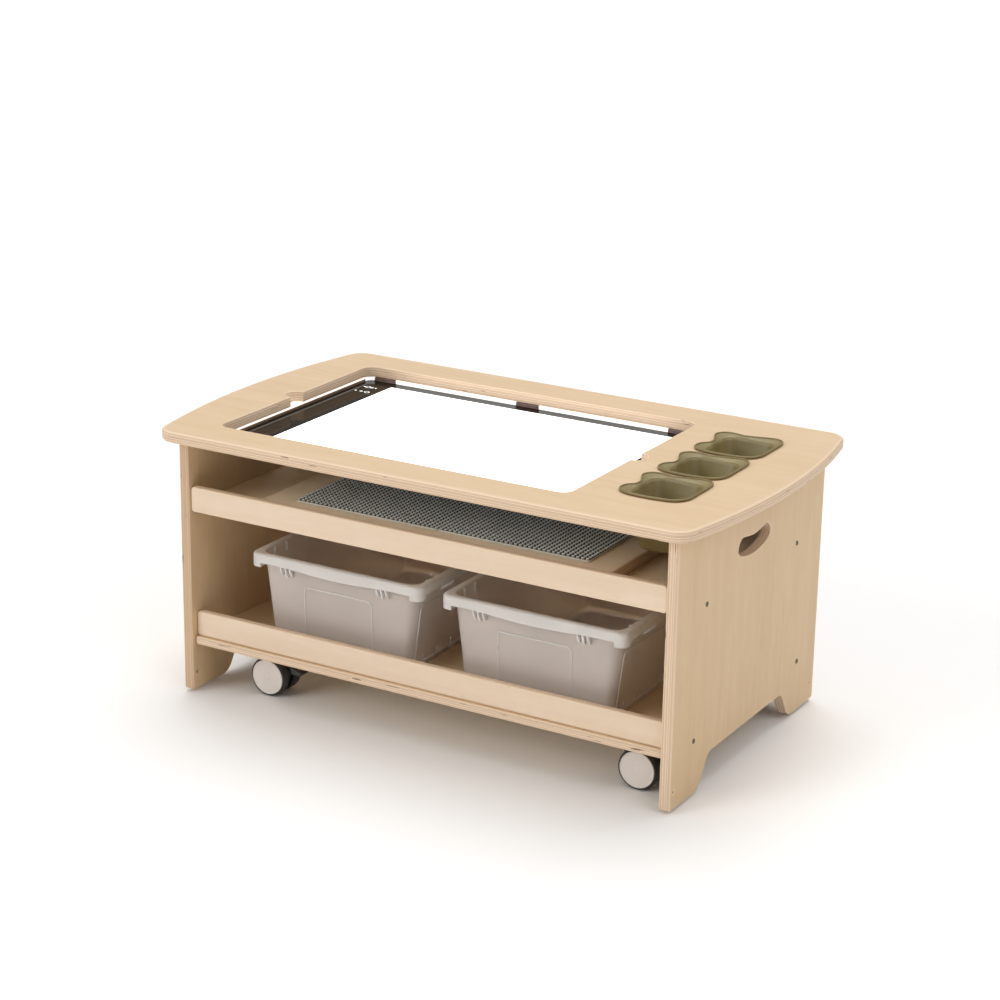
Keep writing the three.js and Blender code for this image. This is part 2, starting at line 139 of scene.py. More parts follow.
def axes(t, order, scales, offset=(0.0, 0.0, 0.0)):
    """object coordinates reordered (such as "XYZ") and scaled, in metres"""
    co = node(t, "ShaderNodeTexCoord").outputs["Object"]
    s = node(t, "ShaderNodeSeparateXYZ")
    link(t, co, s.inputs[0])
    c = node(t, "ShaderNodeCombineXYZ")
    for i, a in enumerate(order):
        link(t, math_node(t, "MULTIPLY_ADD", s.outputs["XYZ".index(a)], scales[i], offset[i]), c.inputs[i])
    return c.outputs[0]


def bump(t, bsdf, height, strength, distance):
    n = node(t, "ShaderNodeBump")
    n.inputs["Strength"].default_value = strength
    n.inputs["Distance"].default_value = distance
    link(t, height, n.inputs["Height"])
    link(t, n.outputs[0], bsdf.inputs["Normal"])


def wood_face(name, grain="X", across="Y", light=(0.735, 0.560, 0.375), dark=(0.615, 0.440, 0.265), seed=0.0, amount=1.0):
    """birch veneer: soft wandering figure along the grain, fine fibres and short pores"""
    m, t, b = tree(name)
    third = ({"X", "Y", "Z"} - {grain, across}).pop()
    order = grain + across + third
    off = (seed, seed * 1.7, seed * 0.6)
    broad = noise(t, axes(t, order, (1.6, 6.5, 6.5), off), 1.0, 4, 0.55, 0.8)
    figure = noise(t, axes(t, order, (3.4, 34, 34), off), 1.0, 4, 0.6, 1.4)
    fibre = noise(t, axes(t, order, (30, 750, 750), off), 1.0, 3, 0.6)
    streak = noise(t, axes(t, order, (2.2, 95, 95), off), 1.0, 4, 0.65, 0.5)
    pores = noise(t, axes(t, order, (120, 1500, 1500), off), 1.0, 1, 0.5)
    mottle = noise(t, axes(t, order, (22, 30, 30), off), 1.0, 4, 0.6, 0.4)
    f = math_node(t, "MULTIPLY", remap(t, broad, 0.32, 0.68), 0.26 * amount)
    f = math_node(t, "MULTIPLY_ADD", remap(t, figure, 0.38, 0.66), 0.26 * amount, f)
    f = math_node(t, "MULTIPLY_ADD", remap(t, streak, 0.42, 0.70), 0.16 * amount, f)
    f = math_node(t, "MULTIPLY_ADD", remap(t, fibre, 0.35, 0.7), 0.16, f)
    f = math_node(t, "MULTIPLY_ADD", remap(t, mottle, 0.35, 0.65), 0.13, f)
    col = mix_colour(t, f, light, dark)
    pore = remap(t, pores, 0.66, 0.80)
    col = mix_colour(t, math_node(t, "MULTIPLY", pore, 0.24), col, (0.40, 0.25, 0.13))
    warm = noise(t, axes(t, order, (0.9, 3.0, 3.0), (seed + 9, 3, 1)), 1.0, 2)
    col = mix_colour(t, math_node(t, "MULTIPLY", remap(t, warm, 0.4, 0.65), 0.16), col, (light[0] * 0.98, light[1] * 0.93, light[2] * 0.86))
    link(t, col, b.inputs["Base Color"])
    link(t, remap(t, math_node(t, "ADD", streak, fibre), 0.6, 1.4, 0.42, 0.54), b.inputs["Roughness"])
    b.inputs["Specular IOR Level"].default_value = 0.38
    b.inputs["Coat Weight"].default_value = 0.08
    b.inputs["Coat Roughness"].default_value = 0.3
    h = math_node(t, "MULTIPLY_ADD", fibre, 0.6, math_node(t, "MULTIPLY", pore, -0.9))
    bump(t, b, h, 0.2, 0.0002)
    return m


def ply_edge(name, normal="Z", z0=0.0, thick=17.7, plies=9, along=("X", "Y"), light=(0.805, 0.630, 0.455), dark=(0.700, 0.500, 0.345), glue=(0.230, 0.095, 0.050), seed=0, voids=0.735, strong=()):
    """laminated edge: alternating plies with glue lines of uneven strength, end grain and a few small voids"""
    m, t, b = tree(name)
    order = along[0] + along[1] + normal
    co = node(t, "ShaderNodeTexCoord").outputs["Object"]
    s = node(t, "ShaderNodeSeparateXYZ")
    link(t, co, s.inputs[0])
    wob = noise(t, axes(t, order, (5, 5, 2), (seed, 0, 0)), 1.0, 2)
    depth = math_node(t, "MULTIPLY_ADD", s.outputs["XYZ".index(normal)], 1000 / thick, -z0 / thick)
    depth = math_node(t, "ADD", depth, math_node(t, "MULTIPLY_ADD", wob, 0.05, -0.025))
    rng = random.Random(int(seed * 10) + 5)
    cuts = [0.0] + [(i + rng.uniform(-0.16, 0.16)) / plies for i in range(1, plies)] + [1.0]
    ramps = []
    for version in (0, 1):
        ramp = node(t, "ShaderNodeValToRGB")
        link(t, depth, ramp.inputs[0])
        cr = ramp.color_ramp
        stops = []
        for i in range(plies):
            a, e = cuts[i], cuts[i + 1]
            k = rng.uniform(-0.035, 0.035)
            c = light if i % 2 == 0 else dark
            c = (min(1, c[0] * (1 + k)), min(1, c[1] * (1 + k * 1.2)), min(1, c[2] * (1 + k * 1.6)))
            stops += [(a + 0.017, c), (e - 0.017, c)]
            if i < plies - 1:
                w = rng.choice((0.16, 0.28, 0.42, 0.66))
                if i in strong:
                    w = rng.uniform(0.88, 0.98)
                stops.append((e, tuple(x * (1 - w) + g * w for x, g in zip(c, glue))))
        cr.elements[0].position, cr.elements[0].color = stops[0][0], (*stops[0][1], 1)
        cr.elements[1].position, cr.elements[1].color = stops[-1][0], (*stops[-1][1], 1)
        for pos, c in stops[1:-1]:
            e = cr.elements.new(pos)
            e.color = (*c, 1)
        ramps.append(ramp.outputs[0])
    vary = noise(t, axes(t, order, (3.2, 3.2, 40), (seed, 7, 3)), 1.0, 2)
    col = mix_colour(t, remap(t, vary, 0.40, 0.60), ramps[0], ramps[1])
    grain = noise(t, axes(t, order, (300, 300, 1500), (seed, 1, 2)), 1.0, 3, 0.65)
    long = noise(t, axes(t, order, (9, 9, 700), (seed, 4, 2)), 1.0, 3, 0.6)
    col = mix_colour(t, math_node(t, "MULTIPLY", remap(t, grain, 0.35, 0.7), 0.16), col, (0.50, 0.33, 0.20))
    col = mix_colour(t, math_node(t, "MULTIPLY", remap(t, long, 0.35, 0.7), 0.20), col, (0.80, 0.63, 0.46))
    v = noise(t, axes(t, order, (26, 26, 300), (seed + 3, 5, 0)), 1.0, 1)
    hole = remap(t, v, voids, voids + 0.03)
    col = mix_colour(t, math_node(t, "MULTIPLY", hole, 0.8), col, (0.12, 0.06, 0.03))
    link(t, col, b.inputs["Base Color"])
    link(t, remap(t, grain, 0.3, 0.7, 0.46, 0.6), b.inputs["Roughness"])
    b.inputs["Specular IOR Level"].default_value = 0.35
    h = math_node(t, "MULTIPLY_ADD", grain, 0.5, math_node(t, "MULTIPLY", hole, -1.0))
    bump(t, b, h, 0.3, 0.0003)
    return m


def plastic(name, colour, rough=0.4, grain_scale=900, grain=0.12, vary=0.06, spec=0.5, coat=0.0, second=None, dist=0.0002):
    """moulded plastic: faint tone drift, fine surface grain, small changes in gloss"""
    m, t, b = tree(name)
    co = node(t, "ShaderNodeTexCoord").outputs["Object"]
    drift = noise(t, co, 14, 3)
    fine = noise(t, co, grain_scale, 2)
    scuff = noise(t, co, 160, 5, 0.7)
    dark = second or tuple(c * (1 - 2.2 * vary) for c in colour)
    col = mix_colour(t, remap(t, drift, 0.35, 0.65), colour, dark)
    col = mix_colour(t, math_node(t, "MULTIPLY", remap(t, scuff, 0.58, 0.72), 0.18), col, tuple(min(1, c * 1.25 + 0.01) for c in colour))
    link(t, col, b.inputs["Base Color"])
    link(t, remap(t, scuff, 0.35, 0.7, rough - 0.05, rough + 0.07), b.inputs["Roughness"])
    b.inputs["Specular IOR Level"].default_value = spec
    b.inputs["Coat Weight"].default_value = coat
    bump(t, b, fine, grain, dist)
    return m


def metal(name, colour=(0.60, 0.58, 0.55), rough=0.3):
    m, t, b = tree(name)
    co = node(t, "ShaderNodeTexCoord").outputs["Object"]
    n1 = noise(t, co, 220, 4, 0.6)
    n2 = noise(t, co, 30, 3)
    link(t, mix_colour(t, remap(t, n2, 0.35, 0.65), colour, tuple(c * 0.8 for c in colour)), b.inputs["Base Color"])
    link(t, remap(t, n1, 0.3, 0.7, rough - 0.06, rough + 0.12), b.inputs["Roughness"])
    b.inputs["Metallic"].default_value = 1.0
    bump(t, b, n1, 0.1, 0.0001)
    return m


def frosted(name, body=(0.90, 0.885, 0.88), through=0.88, rough=0.30):
    """translucent moulded bin: milky body with a satin texture and faint flow lines"""
    m, t, b = tree(name)
    co = node(t, "ShaderNodeTexCoord").outputs["Object"]
    drift = noise(t, co, 9, 3)
    fine = noise(t, co, 700, 3, 0.6)
    flow = noise(t, axes(t, "XYZ", (6, 6, 60)), 1.0, 3)
    col = mix_colour(t, remap(t, drift, 0.35, 0.65), body, tuple(c * 0.95 for c in body))
    link(t, col, b.inputs["Base Color"])
    link(t, remap(t, math_node(t, "ADD", flow, fine), 0.7, 1.3, rough - 0.05, rough + 0.07), b.inputs["Roughness"])
    b.inputs["Transmission Weight"].default_value = through
    b.inputs["IOR"].default_value = 1.30
    b.inputs["Specular IOR Level"].default_value = 0.5
    bump(t, b, fine, 0.10, 0.0002)
    return m


def glow(name, colour=(1.0, 0.995, 0.985), strength=1.35):
    m, t, b = tree(name)
    co = node(t, "ShaderNodeTexCoord").outputs["Object"]
    n1 = noise(t, co, 3.0, 2)
    fine = noise(t, co, 800, 2)
    col = mix_colour(t, remap(t, n1, 0.35, 0.65), colour, tuple(c * 0.985 for c in colour))
    link(t, col, b.inputs["Emission Color"])
    b.inputs["Base Color"].default_value = (0.9, 0.9, 0.89, 1)
    b.inputs["Emission Strength"].default_value = strength
    link(t, remap(t, fine, 0.3, 0.7, 0.22, 0.28), b.inputs["Roughness"])
    return m


M = {}
M["face_top"] = wood_face("birch_face_top", "X", "Y", seed=1.3)
M["face_shelf"] = wood_face("birch_face_shelf", "X", "Y", light=(0.790, 0.605, 0.400), dark=(0.670, 0.480, 0.285), seed=4.1)
# painted light: the insert board's and the upper shelf's birch is lighter than the tabletop's to make up for the shade
# under the tabletop
M["face_board"] = wood_face("birch_face_board_painted_light", "X", "Y", light=(0.920, 0.745, 0.545), dark=(0.830, 0.640, 0.435), seed=7.7)
M["face_upper"] = wood_face("birch_face_upper_shelf_painted_light", "X", "Y", light=(0.880, 0.695, 0.480), dark=(0.780, 0.580, 0.370), seed=11.3)
M["face_side"] = wood_face("birch_face_side", "Z", "Y", light=(0.725, 0.535, 0.325), dark=(0.610, 0.420, 0.230), seed=2.2)
M["face_rail"] = wood_face("birch_face_rail", "X", "Z", light=(0.815, 0.655, 0.500), dark=(0.710, 0.535, 0.375), seed=5.5)
M["edge_top"] = ply_edge("ply_edge_top", "Z", TOP_Z0, PLY, 9, seed=0.5, strong=(4, 5))
M["edge_board"] = ply_edge("ply_edge_board", "Z", 314.3, PLY, 9, seed=3.5, strong=(2, 5))
M["edge_upper"] = ply_edge("ply_edge_upper_shelf", "Z", 301.3, 12.7, 7, seed=5.1, strong=(1, 4))
# partly painted shade: the two strongest glue lines near the top of the lower shelf's edge are real glue lines
# darkened further to stand in for the contact shade under the rail
M["edge_lower"] = ply_edge("ply_edge_lower_shelf", "Z", 82.3, 12.7, 7, seed=6.1, strong=(4, 5))
M["edge_side_l"] = ply_edge("ply_edge_side_left", "X", -SIDE_X, PLY, 9, ("Z", "Y"), light=(0.660, 0.470, 0.305), dark=(0.575, 0.385, 0.240), seed=1.5, strong=(1, 4, 6))
M["edge_side_r"] = ply_edge("ply_edge_side_right", "X", SIDE_X - PLY, PLY, 9, ("Z", "Y"), seed=8.5, strong=(1, 3, 6))
M["olive"] = plastic("cup_olive", (0.248, 0.192, 0.078), 0.42, 1100, 0.18, 0.05)
M["white"] = plastic("tray_white", (0.82, 0.82, 0.80), 0.4, 700, 0.08, 0.02)
_b = next(n for n in M["white"].node_tree.nodes if n.type == "BSDF_PRINCIPLED")
_b.inputs["Emission Color"].default_value = (1.0, 0.99, 0.97, 1)      # painted light: the white trim ring glows to stand in for the panel's light spilling into the tray
_b.inputs["Emission Strength"].default_value = 0.75
M["tray"] = plastic("tray_white_plain", (0.80, 0.80, 0.78), 0.4, 700, 0.08, 0.02)
M["bezel"] = plastic("bezel_gloss_black", (0.018, 0.012, 0.008), 0.08, 500, 0.004, 0.10, 0.08, 0.0)
# painted shade and reflected wood tone: brown for the lower part of the white ring's left wall
M["strip"] = plastic("end_strip_painted_shade", (0.270, 0.165, 0.090), 0.25, 500, 0.01, 0.10, 0.30, 0.0)
# painted reflection: the black clips are given a brown tone for the wood mirrored in their gloss faces
M["clip"] = plastic("clip_black_painted_reflection", (0.200, 0.125, 0.108), 0.28, 700, 0.05, 0.10, 0.35, 0.0)
M["dark"] = plastic("caster_charcoal", (0.038, 0.033, 0.031), 0.42, 900, 0.2, 0.10)
M["tread"] = plastic("tread_soft", (0.050, 0.043, 0.040), 0.62, 500, 0.3, 0.12)
M["disc"] = plastic("hub_disc_grey", (0.800, 0.735, 0.685), 0.38, 900, 0.08, 0.03)
# one grey plastic in lit and shaded copies: the stud tops are painted lighter (painted light) and the plate's top
# between the studs near black (painted shade); the stud walls and the plate's rim keep the plastic's own grey
M["stud"] = plastic("stud_top_painted_light", (0.86, 0.86, 0.82), 0.25, 700, 0.05, 0.04)
M["slab"] = plastic("stud_plate_painted_shade", (0.016, 0.016, 0.018), 0.40, 700, 0.05, 0.04, 0.2)
M["stud_wall"] = plastic("stud_wall_grey", (0.66, 0.66, 0.63), 0.32, 700, 0.05, 0.04, 0.3)
M["slab_edge"] = plastic("stud_plate_rim_grey", (0.66, 0.66, 0.60), 0.36, 700, 0.05, 0.04)
M["steel"] = metal("zinc_steel")
M["screw"] = metal("screw_dark_zinc", (0.20, 0.165, 0.12), 0.36)
M["bin"] = frosted("bin_frosted", (0.96, 0.875, 0.81), 0.58, 0.34)
M["bin_rim"] = frosted("bin_frosted_rim", (0.92, 0.885, 0.845), 0.38, 0.34)
M["bin_line"] = frosted("bin_frosted_ribs", (0.95, 0.92, 0.89), 0.25, 0.30)
M["glow"] = glow("panel_light")
M["mark"] = glow("touch_mark_light", (0.9, 0.95, 1.0), 0.9)


# ------------------------------------------------------------------ geometry helpers (mm in, metres out)
def finish_mesh(bm, name, mats, body, replaces=(), smooth=True, angle=38, weighted=True, slot=None):
    bmesh.ops.recalc_face_normals(bm, faces=bm.faces)
    me = bpy.data.meshes.new(name)
    bm.to_mesh(me)
    bm.free()
    for m in mats:
        me.materials.append(m)
    if smooth:
        for p in me.polygons:
            p.use_smooth = True
        me.set_sharp_from_angle(angle=math.radians(angle))
    o = bpy.data.objects.new(name, me)
    scene.collection.objects.link(o)
    if weighted and smooth:
        w = o.modifiers.new("even_normals", "WEIGHTED_NORMAL")
        w.keep_sharp = True
        w.weight = 60
    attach(o, body)
    if replaces:
        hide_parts(*replaces)
    return o


def area2(p):
    return sum(a[0] * b[1] - b[0] * a[1] for a, b in zip(p, p[1:] + p[:1])) / 2


def tidy(p, ccw=True):
    out = []
    for q in p:
        if not out or math.dist(q, out[-1]) > 1e-3:
            out.append(q)
    if math.dist(out[0], out[-1]) < 1e-3:
        out.pop()
    if (area2(out) > 0) != ccw:
        out.reverse()
    return out


def inset(p, d):
    """moves a loop d mm to its left (into the material)"""
    n, out = len(p), []
    for i in range(n):
        a, b, c = p[i - 1], p[i], p[(i + 1) % n]
        u = (b[0] - a[0], b[1] - a[1]); v = (c[0] - b[0], c[1] - b[1])
        lu, lv = math.hypot(*u) or 1, math.hypot(*v) or 1
        n1 = (-u[1] / lu, u[0] / lu); n2 = (-v[1] / lv, v[0] / lv)
        k = 1 + n1[0] * n2[0] + n1[1] * n2[1]
        k = max(k, 0.35)
        out.append((b[0] + d * (n1[0] + n2[0]) / k, b[1] + d * (n1[1] + n2[1]) / k))
    return out


ID = lambda x, y, z: (x, y, z)
UPRIGHT_X = lambda a, b, c: (c, a, b)      # outline in (Y, Z), thickness along X
UPRIGHT_Y = lambda a, b, c: (a, -c, b)     # outline in (X, Z), thickness along -Y


def add_plate(bm, outer, holes, z0, z1, r=2.0, hole_r=None, seg=4, place=ID, face=0, edge=1, flat=False):
    hole_r = r if hole_r is None else hole_r
    loops = [(tidy(outer, True), r)] + [(tidy(h, False), hole_r) for h in holes]
    rims = {0: [], 1: []}
    for pts, rr in loops:
        levels = []
        if rr > 0:
            for k in range(seg + 1):
                a = math.pi / 2 * k / seg
                levels.append((z0 + rr - rr * math.cos(a), rr - rr * math.sin(a)))
            for k in range(seg + 1):
                a = math.pi / 2 * k / seg
                levels.append((z1 - rr + rr * math.sin(a), rr - rr * math.cos(a)))
        else:
            levels = [(z0, 0), (z1, 0)]
        prev = None
        for li, (z, d) in enumerate(levels):
            q = inset(pts, d) if d > 1e-6 else pts
            ring = [bm.verts.new(Vector(place(x, y, z)) * MM) for x, y in q]
            if prev:
                n = len(ring)
                for i in range(n):
                    f = bm.faces.new((prev[i], prev[(i + 1) % n], ring[(i + 1) % n], ring[i]))
                    f.material_index = edge
            if li == 0:
                rims[0].append(ring)
            prev = ring
        rims[1].append(prev)
    for k in (0, 1):
        edges = []
        for ring in rims[k]:
            n = len(ring)
            for i in range(n):
                e = bm.edges.get((ring[i], ring[(i + 1) % n])) or bm.edges.new((ring[i], ring[(i + 1) % n]))
                edges.append(e)
        if len(rims[k]) == 1:
            f = bm.faces.new(rims[k][0])
            made = [f]
            if len(rims[k][0]) > 4:
                made = bmesh.ops.triangulate(bm, faces=[f])["faces"]
        else:
            made = [g for g in bmesh.ops.triangle_fill(bm, use_beauty=True, use_dissolve=False, edges=edges)["geom"] if isinstance(g, bmesh.types.BMFace)]
        for f in made:
            f.material_index = face


def plate(name, outer, holes, z0, z1, mats, body, replaces=(), r=2.0, hole_r=None, seg=4, place=ID, **kw):
    bm = bmesh.new()
    add_plate(bm, outer, holes, z0, z1, r, hole_r, seg, place)
    return finish_mesh(bm, name, mats, body, replaces, **kw)


def round_rect(hx, hy, r, n=8, cx=0.0, cy=0.0):
    pts = []
    for x, y, a0 in ((hx - r, hy - r, 0), (-hx + r, hy - r, 90), (-hx + r, -hy + r, 180), (hx - r, -hy + r, 270)):
        for i in range(n + 1):
            a = math.radians(a0 + 90 * i / n)
            pts.append((cx + x + r * math.cos(a), cy + y + r * math.sin(a)))
    return pts


def fillet(pts, radii, n=6):
    out = []
    m = len(pts)
    for i in range(m):
        p, a, b, r = Vector(pts[i]), Vector(pts[i - 1]), Vector(pts[(i + 1) % m]), radii[i]
        if not r:
            out.append(tuple(p)); continue
        u, v = (a - p).normalized(), (b - p).normalized()
        half = math.acos(max(-1, min(1, u.dot(v)))) / 2
        t = r / math.tan(half)
        A, B = p + u * t, p + v * t
        C = p + (u + v).normalized() * (r / math.sin(half))
        a0, a1 = math.atan2(A.y - C.y, A.x - C.x), math.atan2(B.y - C.y, B.x - C.x)
        if a1 - a0 > math.pi: a1 -= 2 * math.pi
        if a1 - a0 < -math.pi: a1 += 2 * math.pi
        for k in range(n + 1):
            q = a0 + (a1 - a0) * k / n
            out.append((C.x + r * math.cos(q), C.y + r * math.sin(q)))
    return out


def add_rings(bm, rings, cap0=True, cap1=True, mat=0, place=ID):
    """rings: [(points, z)], equal counts"""
    prev, first = None, None
    for pts, z in rings:
        zz = z if isinstance(z, (list, tuple)) else [z] * len(pts)
        ring = [bm.verts.new(Vector(place(p[0], p[1], h)) * MM) for p, h in zip(pts, zz)]
        if prev:
            n = len(ring)
            for i in range(n):
                bm.faces.new((prev[i], prev[(i + 1) % n], ring[(i + 1) % n], ring[i])).material_index = mat
        first = first or ring
        prev = ring
    for ring, on in ((first, cap0), (prev, cap1)):
        if on:
            f = bm.faces.new(ring)
            f.material_index = mat
            if len(ring) > 4:
                bmesh.ops.triangulate(bm, faces=[f])


def add_lathe(bm, profile, centre, axis="Y", n=48, mat=0, sign=1, close=False):
    """profile [(r, h)] turned about axis; r 0 ends close to a point, close joins the last row to the first"""
    def at(r, h, a):
        c, s = r * math.cos(a), r * math.sin(a)
        h *= sign
        return {"Y": (centre[0] + c, centre[1] + h, centre[2] + s), "Z": (centre[0] + c, centre[1] + s, centre[2] + h), "X": (centre[0] + h, centre[1] + c, centre[2] + s)}[axis]
    rows = []
    for r, h in profile:
        if r < 1e-6:
            rows.append([bm.verts.new(Vector(at(0, h, 0)) * MM)])
        else:
            rows.append([bm.verts.new(Vector(at(r, h, 2 * math.pi * i / n)) * MM) for i in range(n)])
    for prev, cur in list(zip(rows, rows[1:])) + ([(rows[-1], rows[0])] if close else []):
        for i in range(n):
            a, b = prev[i % len(prev)], prev[(i + 1) % len(prev)]
            c, d = cur[(i + 1) % len(cur)], cur[i % len(cur)]
            vs = [v for k, v in enumerate((a, b, c, d)) if v not in (a, b, c, d)[:k]]
            if len(vs) >= 3:
                bm.faces.new(vs).material_index = mat


def add_tube(bm, pts, r, n=8, closed=False, mat=0):
    """round tube along 3-D points in mm"""
    P = [Vector(p) for p in pts]
    m = len(P)
    rings, ref = [], None
    for i in range(m):
        a = P[i - 1] if (i or closed) else P[i]
        b = P[(i + 1) % m] if (i < m - 1 or closed) else P[i]
        d = (b - a).normalized()
        if ref is None:
            ref = Vector((0, 0, 1)) if abs(d.z) < 0.9 else Vector((1, 0, 0))
        u = (ref - d * ref.dot(d)).normalized()
        ref = u
        v = d.cross(u)
        rings.append([bm.verts.new((P[i] + u * (r * math.cos(2 * math.pi * k / n)) + v * (r * math.sin(2 * math.pi * k / n))) * MM) for k in range(n)])
    for i in range(m - 1 + closed):
        A, B = rings[i], rings[(i + 1) % m]
        for k in range(n):
            bm.faces.new((A[k], A[(k + 1) % n], B[(k + 1) % n], B[k])).material_index = mat
    if not closed:
        for ring in (rings[0], rings[-1]):
            bm.faces.new(ring).material_index = mat


def add_box(bm, x0, x1, y0, y1, z0, z1, e=0.6, mat=0, place=ID):
    add_plate(bm, round_rect((x1 - x0) / 2, (y1 - y0) / 2, e, 2, (x0 + x1) / 2, (y0 + y1) / 2), [], z0, z1, e * 0.8, None, 2, place, mat, mat)


def paint(nodes, material):
    for n in nodes:
        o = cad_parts[n]
        o.data.materials.clear()
        o.data.materials.append(material)


# ------------------------------------------------------------------ tabletop
def tabletop():
    K, N = 4.08e-4, 28
    end = [(482.8 - K * y * y, y) for y in [-282 + 564 * i / N for i in range(N + 1)]]
    # corners rounded between the bowed end and the straight front and back
    def corner(sy):
        y = 282.0 * sy
        x = 482.8 - K * y * y
        s = -2 * K * y                       # dx/dy of the end there
        return x, y, s
    pts = []
    R = 33.0
    for sx in (1, -1):
        ys = (-1, 1) if sx == 1 else (1, -1)
        run = []
        # centre of the corner circle lies R inside both edges
        yc = 282 - R
        xe = 482.8 - K * yc * yc
        slope = 2 * K * yc
        xc = xe - R * math.sqrt(1 + slope * slope)
        a_end = math.atan2(slope, 1.0)
        y_t = yc + R * math.sin(a_end)
        for k in range(13):
            a = -math.pi / 2 + (math.pi / 2 - a_end) * k / 12
            run.append((xc + R * math.cos(a), -yc + R * math.sin(a)))
        for i in range(1, N):
            y = -y_t + 2 * y_t * i / N
            run.append((482.8 - K * y * y, y))
        for k in range(13):
            a = a_end + (math.pi / 2 - a_end) * k / 12
            run.append((xc + R * math.cos(a), yc + R * math.sin(a)))
        pts += [(sx * x, sx * y) for x, y in run]
    x0, x1, hy, r = OPEN
    rect = round_rect((x1 - x0) / 2, hy, r, 10, (x0 + x1) / 2, 0)
    hole = []
    for i, p in enumerate(rect):
        hole.append(p)
        if i == 21:
            hole += fillet([(x0, 40), (x0, 19.5)], [0, 0]) if False else []
            for k in range(17):
                a = math.pi / 2 + math.pi * k / 16
                hole.append((x0 + 18 * math.cos(a) - 0.02, 18 * math.sin(a)))
        if i == 43:
            for k in range(17):
                a = -math.pi / 2 + math.pi * k / 16
                hole.append((x1 + 18 * math.cos(a) + 0.02, 18 * math.sin(a)))
    holes = [hole] + [round_rect(43.5, 47, 20, 8, CUP_X + CUP_DX, CUP_Y0 + i * CUP_PITCH + CUP_DY) for i in range(3)]
    plate("tabletop_fine", pts, holes, TOP_Z0, TOP_Z1, [M["face_top"], M["edge_top"]], "frame", ["tabletop"], r=4.6, hole_r=1.6, seg=6, slot="plywood")


tabletop()


# ------------------------------------------------------------------ side panels
def smooth_line(pts, n=5):
    """Catmull-Rom through points, open"""
    out = []
    for i in range(len(pts) - 1):
        p0, p1, p2, p3 = pts[max(i - 1, 0)], pts[i], pts[i + 1], pts[min(i + 2, len(pts) - 1)]
        for k in range(n):
            t = k / n
            out.append(tuple(0.5 * (2 * b + (c - a) * t + (2 * a - 5 * b + 4 * c - d) * t * t + (3 * b - a - 3 * c + d) * t ** 3) for a, b, c, d in zip(p0, p1, p2, p3)))
    out.append(pts[-1])
    return out


def side_panels():
    F = FLOOR_GAP
    half = [(100, 53), (112, 52.9), (122, 52.4), (129.5, 49.6), (134.5, 44.6), (138.5, 38.8), (143, 31.4), (148.2, 23), (153.6, 14.8), (160, 9.2), (167, 6.2), (173, 5.1), (176, F)]
    arch = smooth_line(half, 4)
    pts = [(-SIDE_Y, 420.1)] + fillet([(-SIDE_Y, 200), (-SIDE_Y, F), (-200, F)], [0, 4, 0], 6)[1:-1]
    pts += [(-y, z) for y, z in reversed(arch)] + arch
    pts += fillet([(200, F), (SIDE_Y, F), (SIDE_Y, 200)], [0, 4, 0], 6)[1:-1] + [(SIDE_Y, 420.1)]
    top = [(52, 352.5), (43, 358.5), (34, 358), (20, 355.5), (0, 353.6), (-20, 355.5), (-34, 358), (-43, 358.5), (-52, 352.5), (-56, 344.5)]
    bottom = [(-52.5, 336.5), (-38, 330), (-18, 326.2), (0, 325), (18, 326.2), (38, 330), (52.5, 336.5), (56, 344.5)]
    loop = top + bottom
    m, slot = len(loop), []
    for i in range(m):
        p0, p1, p2, p3 = loop[i - 1], loop[i], loop[(i + 1) % m], loop[(i + 2) % m]
        for k in range(4):
            t = k / 4
            slot.append(tuple(0.5 * (2 * b + (c - a) * t + (2 * a - 5 * b + 4 * c - d) * t * t + (3 * b - a - 3 * c + d) * t ** 3) for a, b, c, d in zip(p0, p1, p2, p3)))
    dots = [[(y + 2.4 * math.cos(2 * math.pi * k / 16), 33 + 2.4 * math.sin(2 * math.pi * k / 16)) for k in range(16)] for y in (-242, 242)]
    for name, x0, mat in (("left", -SIDE_X, "edge_side_l"), ("right", SIDE_X - PLY, "edge_side_r")):
        bm = bmesh.new()
        place = lambda a, b, c, x0=x0: (x0 + c, a, b)
        add_plate(bm, pts, [slot] + dots, 0, PLY, 2.0, 2.0, 5, place)
        finish_mesh(bm, f"side_panel_{name}_fine", [M["face_side"], M[mat]], "frame", [f"side_panel_{name}"], slot="plywood")


side_panels()


def screw(name, centre, s, node_name):
    bm = bmesh.new()
    add_lathe(bm, [(4.0, 0.05), (4.0, 0.5), (3.7, 0.85), (3.1, 1.05), (2.1, 1.12)], centre, "X", 32, 0, s)
    x = centre[0]
    hexa = [(2.1 * math.cos(2 * math.pi * i / 32), 2.1 * math.sin(2 * math.pi * i / 32)) for i in range(32)]
    def hx(r, i):
        a = 2 * math.pi * i / 32
        k = math.cos(math.pi / 6) / math.cos((a % (math.pi / 3)) - math.pi / 6)
        return (r * k * math.cos(a), r * k * math.sin(a))
    place = lambda a, b, c: (x + s * c, centre[1] + a, centre[2] + b)
    add_rings(bm, [(hexa, 1.12), ([hx(1.9, i) for i in range(32)], 1.0), ([hx(1.8, i) for i in range(32)], 0.2)], cap0=False, cap1=True, place=place)
    add_rings(bm, [([(4.0 * math.cos(2 * math.pi * i / 32), 4.0 * math.sin(2 * math.pi * i / 32)) for i in range(32)], 0.05)], cap0=True, cap1=False, place=place)
    bmesh.ops.remove_doubles(bm, verts=bm.verts, dist=1e-6)
    finish_mesh(bm, name, [M["screw"]], "frame", [node_name], slot="steel", angle=30)


for side, s in (("left", -1), ("right", 1)):
    for lvl, (y, z) in (("upper", (157, 293)), ("lower", (182, 90.5))):
        for fb, t in (("front", -1), ("back", 1)):
            screw(f"screw_{side}_{lvl}_{fb}_fine", (s * SIDE_X, t * y, z), s, f"screw_{side}_{lvl}_{fb}")


